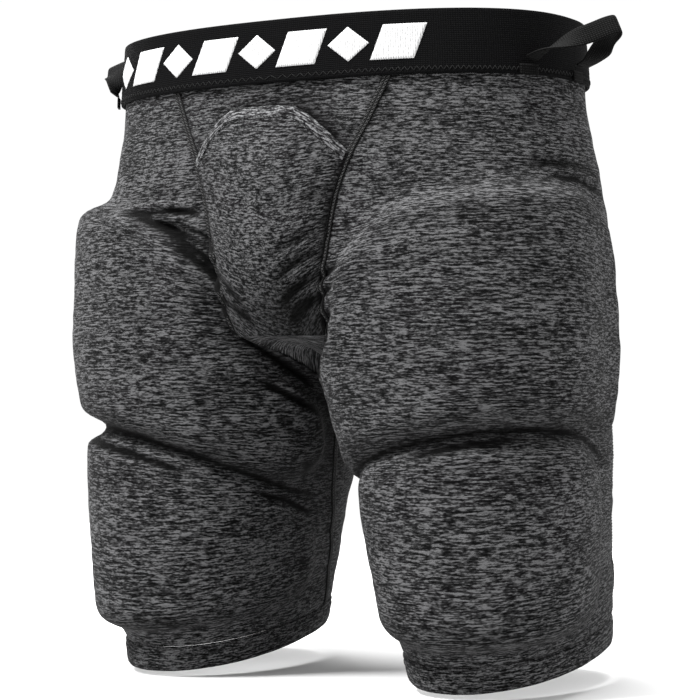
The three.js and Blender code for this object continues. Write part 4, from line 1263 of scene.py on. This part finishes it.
class SHORTS_OT_waistband(PieceMaker):
    """Woven elastic waistband with its woven figures and zigzag stitching"""
    bl_idname = "shorts.waistband"
    bl_label = "Waistband"

    def make(self):
        drops, offsets = band_profile()
        count = WAIST_SEGMENTS
        bow = band_bow(2 * math.pi * np.arange(count)[None] / count, drops[:, None])
        outer = waist_ring(drops, offsets[:, None] + bow, count)
        inner = waist_ring(drops, np.full(len(drops), BAND_IN)[:, None] + bow, count)
        piece = shell_mesh("elastic_waistband", outer, inner, ring_courses(outer, drops, 0), ring=True)
        finish_piece(piece, "elastic", "elastic", "root", "waistband")

        angle = np.linspace(0, 2 * math.pi, ZIGZAG_TURNS, endpoint=False)
        top, low = BAND_HEIGHT - ZIGZAG_TOP, BAND_HEIGHT - ZIGZAG_LOW
        half = angle[1] / 2

        def at(a, drop, lift):
            return round_waist(a, 0 * a + drop, BAND_OUT + lift + band_bow(a, 0 * a + drop))

        starts = np.concatenate([at(angle, top, THREAD_LIFT), at(angle + half, low, THREAD_LIFT)])
        ends = np.concatenate([at(angle + half, low, THREAD_LIFT),
                               at(angle + 2 * half, top, THREAD_LIFT)])
        out = np.concatenate([at(angle, top, 1.0) - at(angle, top, 0.0),
                              at(angle + half, low, 1.0) - at(angle + half, low, 0.0)])
        piece = stitch_mesh("waistband_zigzag", starts, ends, out, SEAM_THREAD)
        finish_piece(piece, "thread", "thread", "root", "waistband_stitching")
        self.figures()

    def figures(self):
        """A row of plain leaning bars and lozenges, woven in white on the wearer's right front."""
        top, low, lean = FIGURE_TOP, FIGURE_LOW, FIGURE_LEAN
        arcs = []
        at = FIGURE_START
        for wide in FIGURE_WIDTHS:
            arcs.append((at, at + wide))
            at += wide + FIGURE_GAP
        points, faces, uvs = [], [], []
        rows = cols = FIGURE_ROWS
        for k, (a0, a1) in enumerate(arcs):
            if k % 2 == 1:
                corners = [(a0 + lean, top), (a1 + lean, top), (a1 - lean, low), (a0 - lean, low)]
            else:
                mid, half = (a0 + a1) / 2, (a1 - a0) / 2
                corners = [(mid, top), (mid + half, (top + low) / 2), (mid, low),
                           (mid - half, (top + low) / 2)]
            c = np.array(corners, float)
            s, t = np.meshgrid(np.linspace(0, 1, rows), np.linspace(0, 1, rows))
            grid = ((1 - s) * (1 - t))[..., None] * c[0] + (s * (1 - t))[..., None] * c[1] \
                + (s * t)[..., None] * c[2] + ((1 - s) * t)[..., None] * c[3]
            for lift in (FIGURE_PROUD, -FIGURE_SUNK):
                bowed = BAND_OUT + lift + 0.08 * np.sin(grid[..., 1] * 1.9)
                p = band_face(grid[..., 0], grid[..., 1], bowed)
                points.append(p.reshape(-1, 3))
            base = 2 * k * rows * cols
            for r in range(rows - 1):
                for q in range(cols - 1):
                    a, b = base + r * cols + q, base + (r + 1) * cols + q
                    faces.append((a, a + 1, b + 1, b))
                    uvs += [grid[r, q], grid[r, q + 1], grid[r + 1, q + 1], grid[r + 1, q]]
                    a, b = a + rows * cols, b + rows * cols
                    faces.append((a, b, b + 1, a + 1))
                    uvs += [grid[r, q], grid[r + 1, q], grid[r + 1, q + 1], grid[r, q + 1]]
            rim = ([(0, q) for q in range(cols)] + [(r, cols - 1) for r in range(1, rows)]
                   + [(rows - 1, q) for q in range(cols - 2, -1, -1)]
                   + [(r, 0) for r in range(rows - 2, 0, -1)])
            for i, (r, q) in enumerate(rim):
                r2, q2 = rim[(i + 1) % len(rim)]
                a, b = base + r * cols + q, base + r2 * cols + q2
                faces.append((a, a + 169, b + 169, b))
                uvs += [grid[r, q], grid[r, q], grid[r2, q2], grid[r2, q2]]
        points = np.concatenate(points)
        if signed_volume(points, faces) < 0:
            order = [list(range(4 * i + 3, 4 * i - 1, -1)) for i in range(len(faces))]
            faces = [f[::-1] for f in faces]
            uvs = [uvs[j] for run in order for j in run]
        piece = put("woven_figures", points, faces, uvs)
        finish_piece(piece, "woven_white", None, "root")


FIGURE_START, FIGURE_GAP = -157.0, 5.0
FIGURE_TOP, FIGURE_LOW, FIGURE_LEAN = 9.0, 30.5, 4.5
FIGURE_PROUD, FIGURE_SUNK = 0.34, 0.25
FIGURE_ROWS = 13  # points along each side of a figure
FIGURE_WIDTHS = (28,) * 8


def band_face(x_arc, drop, offset):
    """Point of the band at a way round it from the front centre, positive to the wearer's left."""
    angles = np.linspace(-math.pi / 2, math.pi / 2, 2001)
    line = body_point(angles, np.full(2001, 20.0), BAND_OUT)
    length = np.concatenate([[0], np.cumsum(np.linalg.norm(np.diff(line, axis=0), axis=1))])
    angle = np.interp(np.abs(x_arc), length, angles)
    around = np.where(x_arc < 0, math.pi - angle, angle)
    p = body_point(angle, drop, offset + band_bow(around, drop))
    p[..., 0] *= np.where(x_arc < 0, -1, 1)
    return p


def leg_ring(drops, offsets, segments):
    angle = 2 * math.pi * np.arange(segments) / segments - math.pi
    return np.array([body_point(angle, np.full(segments, float(d)), o) for d, o in zip(drops, offsets)])


class SHORTS_OT_hems(PieceMaker):
    """Turned-up hem bands and their coverstitch"""
    bl_idname = "shorts.hems"
    bl_label = "Hems"

    def make(self):
        depth = OUTSEAM - HEM_TOP
        share = np.array([0, 0.03, 0.08, 0.16, 0.3, 0.45, 0.6, 0.75, 0.87, 0.94, 0.98, 1.0])
        swell = np.array([-1.0, -0.5, -0.1, 0.15, 0.35, 0.42, 0.4, 0.36, 0.25, 0.0, -0.5, -1.15])
        drops = HEM_TOP + 0.1 + share * (depth - 0.3)
        for k, side in enumerate((LEFT, RIGHT)):
            word = WORD[side]
            count = HEM_SEGMENTS
            angle = 2 * math.pi * np.arange(count) / count
            ripple = (0.22 * np.sin(5 * angle + side) + 0.16 * np.sin(11 * angle)
                      + 0.10 * np.sin(23 * angle + 1))[None, :] * share[:, None]
            outer = leg_ring(drops, (SHELL_OUT + 0.35 + swell)[:, None] + ripple, count)
            inner = leg_ring(drops, (0 * swell + SHELL_OUT - 1.75)[:, None] + ripple, count)
            uv = ring_courses(outer, drops, PIECE_SHIFT * (13 + k))
            piece = shell_mesh(f"{word}_turned_hem", outer, inner, uv, side, ring=True)
            finish_piece(piece, "heather_knit", "heather_knit", "root", f"{word}_hem_band")
            self.coverstitch(word, side)

    def coverstitch(self, word, side):
        pitch = sizes().stitch_pitch * MM * 1.15
        count = int(2 * math.pi * HEM_RADIUS / pitch)
        angle = np.linspace(-math.pi, math.pi, count, endpoint=False)
        step = angle[1] - angle[0]
        starts, ends, out = [], [], []
        for drop, lift in ((HEM_TOP + 1.6, 0.42), (HEM_TOP + 5.2, 0.85)):
            starts.append(body_point(angle, 0 * angle + drop, SHELL_OUT + lift))
            ends.append(body_point(angle + STITCH_SHARE * step, 0 * angle + drop, SHELL_OUT + lift))
            out.append(body_point(angle, 0 * angle + drop, 9.0) - body_point(angle, 0 * angle + drop, 8.0))
        piece = stitch_mesh(f"{word}_coverstitch", np.concatenate(starts), np.concatenate(ends),
                            np.concatenate(out), HEM_THREAD, side)
        finish_piece(piece, "thread", "thread", "root", f"{word}_hem_stitching")


class SHORTS_OT_seams(PieceMaker):
    """Flatlock seams with their crossing threads"""
    bl_idname = "shorts.seams"
    bl_label = "Seams"

    def make(self):
        half = sizes().seam_width * MM / 2
        pitch = sizes().stitch_pitch * MM
        runs = [
            ("front", front_seam, BAND_HEIGHT - 2, POUCH_BOTTOM + 1, half, "front_seam"),
            ("side_back", back_seam, BAND_HEIGHT - 2, HEM_TOP - 1, half, "side_back_seam"),
            ("inner_leg", inseam, INSEAM_TOP + 1, HEM_TOP - 1, half, "inseam"),
        ]
        for k, (name, arc_at, top, bottom, wide, node) in enumerate(runs):
            for side in (LEFT, RIGHT):
                word = WORD[side]
                lift = 0.9 if name == "front" else 0.2
                tape = seam_tape(f"{word}_{name}_tape", arc_at, top, bottom, wide, side,
                                 PIECE_SHIFT * (16 + k), lift=lift)
                finish_piece(tape, "seam_tape", "thread", "root", f"{word}_{node}")
                stitches = seam_zigzag(f"{word}_{name}_stitches", arc_at, top, bottom, wide, pitch,
                                       side, lift=lift + 0.62)
                finish_piece(stitches, "seam_thread", "thread", "root")
        self.centre_back(half, pitch)

    def centre_back(self, half, pitch):
        top, bottom = BAND_HEIGHT - 2, CENTRE_BACK_END
        drops = evenly(top, bottom, SEAM_STEP)
        across = TAPE_SHARES * half
        dd, xx = np.meshgrid(drops, across, indexing="ij")
        crown = 0.3 + 0.55 * (1 - (across / half) ** 4)
        outer = face_surface(xx, dd, 1, SHELL_OUT + np.broadcast_to(crown, xx.shape))
        inner = face_surface(xx, dd, 1, SHELL_OUT - 0.4)
        tape = shell_mesh("centre_back_tape", outer, inner, np.stack([xx + PIECE_SHIFT * 20, dd], -1))
        finish_piece(tape, "seam_tape", "thread", "root", "centre_back_seam")
        run = np.arange(top, bottom, pitch)
        starts, ends, out = [], [], []
        for centre in (-ZIGZAG_ROW * half, ZIGZAG_ROW * half):
            for flip in (-1, 1):
                a = np.full(len(run), centre - flip * ZIGZAG_SWING * half)
                b = np.full(len(run), centre + flip * ZIGZAG_SWING * half)
                starts.append(face_surface(a, run, 1, SHELL_OUT + 0.92))
                ends.append(face_surface(b, run + ZIGZAG_RUN * pitch, 1, SHELL_OUT + 0.92))
                out.append(np.tile([0.0, 1.0, 0.0], (len(run), 1)))
        piece = stitch_mesh("centre_back_stitches", np.concatenate(starts), np.concatenate(ends),
                            np.concatenate(out), SEAM_THREAD)
        finish_piece(piece, "seam_thread", "thread", "root")


# ---- hang loops ----
LOOP_SPAN, LOOP_DROP, LOOP_ARC = 42.0, 31.0, -42.0
# reach, rise and how far the tip lies behind the middle; the right loop lies folded up
LOOP_REST = {LEFT: (45.0, 20.0, 9.0), RIGHT: (26.0, 24.3, 4.0)}
LOOP_LIFT, TAPE_WIDE, TAPE_THICK = 4.8, 13.0, 1.6
TAB_START, TAB_PAST, TAB_LIFT, TAB_ROWS = 3.0, 0.5, 1.0, 8
LOOP_ROWS, TWIST_RUN = 90, 0.36  # rows of the tape, and the share over which it turns on edge
LOOP_SHAPE = [(-1, 0), (-0.97, 0.2), (-0.72, 0.46), (-0.4, 0.72), (-0.2, 0.92), (0, 1)]


def unit(v):
    return v / np.linalg.norm(v, axis=-1, keepdims=True)


def spline(points, count):
    """Smooth open curve through points, evenly sampled, with its tangents."""
    p = np.array(points, float)
    p = np.concatenate([[2 * p[0] - p[1]], p, [2 * p[-1] - p[-2]]])
    fine = []
    for i in range(1, len(p) - 2):
        t = np.linspace(0, 1, 40, endpoint=i == len(p) - 3)[:, None]
        fine.append(0.5 * (2 * p[i] + (p[i + 1] - p[i - 1]) * t
                           + (2 * p[i - 1] - 5 * p[i] + 4 * p[i + 1] - p[i + 2]) * t**2
                           + (3 * p[i] - p[i - 1] - 3 * p[i + 1] + p[i + 2]) * t**3))
    fine = np.concatenate(fine)
    length = np.concatenate([[0], np.cumsum(np.linalg.norm(np.diff(fine, axis=0), axis=1))])
    marks = np.linspace(0, length[-1], count)
    line = np.stack([np.interp(marks, length, fine[:, k]) for k in range(3)], -1)
    return line, unit(np.gradient(line, axis=0)), marks


def tape_mesh(name, line, across, thick_way, marks, side, shift):
    """Flat webbing along a line, with rounded selvedges."""
    share = np.array([-1, -0.97, -0.85, -0.5, 0, 0.5, 0.85, 0.97, 1])
    swell = np.sqrt(np.clip(1 - (np.abs(share)) ** 10, 0.04, 1))
    offset = across[:, None] * (share * TAPE_WIDE / 2)[None, :, None]
    up = thick_way[:, None] * (swell * TAPE_THICK / 2)[None, :, None]
    centre = line[:, None] + offset
    uv = np.stack(np.broadcast_arrays(marks[:, None] + shift, (share * TAPE_WIDE / 2)[None, :]), -1)
    return shell_mesh(name, centre + up, centre - up, uv, side)


class SHORTS_OT_hang_loops(PieceMaker):
    """Webbing hang loops and their sewn ends"""
    bl_idname = "shorts.hang_loops"
    bl_label = "Hang loops"

    def make(self):
        for side in (LEFT, RIGHT):
            word = WORD[side]
            line, across, thick, marks = self.path(*LOOP_REST[side])
            piece = tape_mesh(f"{word}_webbing_loop", line, across, thick, marks, side, 40.0 * side)
            finish_piece(piece, "webbing", "webbing", f"{word}_loop", f"{word}_hang_loop")
            for end, arc in (("front", LOOP_ARC), ("back", LOOP_ARC + LOOP_SPAN)):
                drops = np.linspace(LOOP_DROP + TAB_START, BAND_HEIGHT + TAB_PAST, TAB_ROWS)
                here = on_body(arc, drops, BAND_OUT + TAB_LIFT + TAPE_THICK / 2)
                side_way = unit(on_body(arc + 1, drops, 8) - on_body(arc - 1, drops, 8))
                out = unit(on_body(arc, drops, 9) - on_body(arc, drops, 8))
                tab = tape_mesh(f"{word}_{end}_sewn_end", here, side_way, out, drops, side, 90.0)
                finish_piece(tab, "webbing", "webbing", "root", f"{word}_{end}_loop_tab")

    def path(self, length, rise, skew):
        """The tape's line on the left side: flat against the band at its ends, upright at its tip."""
        ends = np.array([LOOP_ARC, LOOP_ARC + LOOP_SPAN])
        front, back = on_body(ends, np.full(2, LOOP_DROP), BAND_OUT + LOOP_LIFT)
        axis = unit(back - front)
        outward = unit(np.array([axis[1], -axis[0], 0.0]))
        reach = unit(outward * math.sqrt(length**2 - rise**2) + np.array([0, 0, rise]))
        normal = np.cross(axis, reach)
        middle, half = (front + back) / 2, np.linalg.norm(back - front) / 2
        shape = LOOP_SHAPE + [(-s, h) for s, h in LOOP_SHAPE[-2::-1]]
        knots = [middle + axis * (s * half + h * skew) + reach * h * length for s, h in shape]
        line, tangent, marks = spline(knots, LOOP_ROWS)
        share = marks / marks[-1]
        twist = 0.5 * math.pi * smooth(np.minimum(share, 1 - share) / TWIST_RUN)
        flat_way = unit(np.cross(np.broadcast_to(normal, tangent.shape), tangent))
        across = flat_way * np.cos(twist)[:, None] + normal * np.sin(twist)[:, None]
        return line, across, unit(np.cross(tangent, across)), marks


# ---- stage ----
LENS, SENSOR = 113.54, 36.0
EYE = Vector((0.7623, -1.2497, -0.2336))
GAZE = Vector((-0.520, 0.854, 0.0185))
FLOOR_LEVEL, FLOOR_REACH, FLOOR_CELLS = -0.4215, 1.25, 24
AIR_STRENGTH, PAPER_DARK, PAPER_PALE = 1.02, 0.57, 0.59


class SHORTS_OT_stage(PieceMaker):
    """Pale floor, soft studio light and the camera"""
    bl_idname = "shorts.stage"
    bl_label = "Stage"

    def make(self):
        scene = bpy.context.scene
        camera = bpy.data.cameras.new("studio_camera")
        camera.lens, camera.sensor_width = LENS, SENSOR
        eye = bpy.data.objects.new("studio_camera", camera)
        eye.location = EYE
        eye.rotation_mode = "QUATERNION"
        eye.rotation_quaternion = GAZE.to_track_quat("-Z", "Y")
        scene.collection.objects.link(eye)
        scene.camera = eye
        self.floor()
        self.world(scene)
        target = Vector((0.0, 0.0, -0.2))
        lights = [  # name, place, side of the square, power
            ("key", (-0.85, -1.30, 1.85), 0.6, 156.0),
            ("top", (0.0, 0.1, 1.8), 1.2, 80.0),
            ("side", (1.9, -0.5, 0.5), 1.0, 8.0),
            ("rim", (-1.6, 0.9, 0.6), 1.0, 10.0),
        ]
        for name, place, size, power in lights:
            data = bpy.data.lights.new(f"{name}_light", "AREA")
            data.shape, data.size, data.energy = "SQUARE", size, power
            lamp = bpy.data.objects.new(f"{name}_light", data)
            lamp.location = place
            lamp.rotation_mode = "QUATERNION"
            lamp.rotation_quaternion = (target - lamp.location).to_track_quat("-Z", "Y")
            scene.collection.objects.link(lamp)

    def floor(self):
        """A flat, matt floor under the hems."""
        f = Finish("studio_paper", 0.9, specular=0.1)
        place = f.add("TexCoord").outputs["Object"]
        grain = f.noise(place, detail=3.0, dimensions="3D")
        f.colour(f.ramp(grain, [(0.3, grey(PAPER_DARK)), (0.7, grey(PAPER_PALE))]))
        half = np.linspace(-FLOOR_REACH, FLOOR_REACH, FLOOR_CELLS + 1)
        xx, yy = np.meshgrid(half, half)
        points = np.stack([xx, yy, np.full(xx.shape, FLOOR_LEVEL)], -1).reshape(-1, 3) * MM
        wide = FLOOR_CELLS + 1
        faces = [(r * wide + c, r * wide + c + 1, (r + 1) * wide + c + 1, (r + 1) * wide + c)
                 for r in range(FLOOR_CELLS) for c in range(FLOOR_CELLS)]
        floor = put("studio_floor", points, faces)
        floor.data.materials.append(MATERIALS["studio_paper"])

    def world(self, scene):
        world = bpy.data.worlds.new("studio_world")
        world.use_nodes = True
        tree = world.node_tree
        air = tree.nodes["Background"]
        air.inputs["Color"].default_value = (1, 1, 1, 1)
        air.inputs["Strength"].default_value = AIR_STRENGTH
        scene.world = world
        scene.view_settings.view_transform = "Standard"


class SHORTS_PT_pieces(bpy.types.Panel):
    """Lists the shorts' pieces"""
    bl_idname = "SHORTS_PT_pieces"
    bl_label = "Padded shorts"
    bl_space_type = "VIEW_3D"
    bl_region_type = "UI"
    bl_category = "Shorts"

    def draw(self, context):
        for name in ShortsSizes.__annotations__:
            self.layout.prop(context.scene.shorts_sizes, name)
        for operator in OPERATORS:
            self.layout.operator(operator.bl_idname)


OPERATORS = (
    SHORTS_OT_foam_pads, SHORTS_OT_pad_backings, SHORTS_OT_leg_panels, SHORTS_OT_back_panels,
    SHORTS_OT_front, SHORTS_OT_gusset, SHORTS_OT_waistband, SHORTS_OT_hems, SHORTS_OT_seams,
    SHORTS_OT_hang_loops, SHORTS_OT_stage,
)
CLASSES = (ShortsSizes, *OPERATORS, SHORTS_PT_pieces)


def register():
    for cls in CLASSES:
        bpy.utils.register_class(cls)
    bpy.types.Scene.shorts_sizes = bpy.props.PointerProperty(type=ShortsSizes)


def unregister():
    del bpy.types.Scene.shorts_sizes
    for cls in reversed(CLASSES):
        bpy.utils.unregister_class(cls)


def main():
    register()
    make_finishes()
    for operator in OPERATORS:
        family, name = operator.bl_idname.split(".")
        getattr(getattr(bpy.ops, family), name)()


if __name__ == "__main__":
    main()
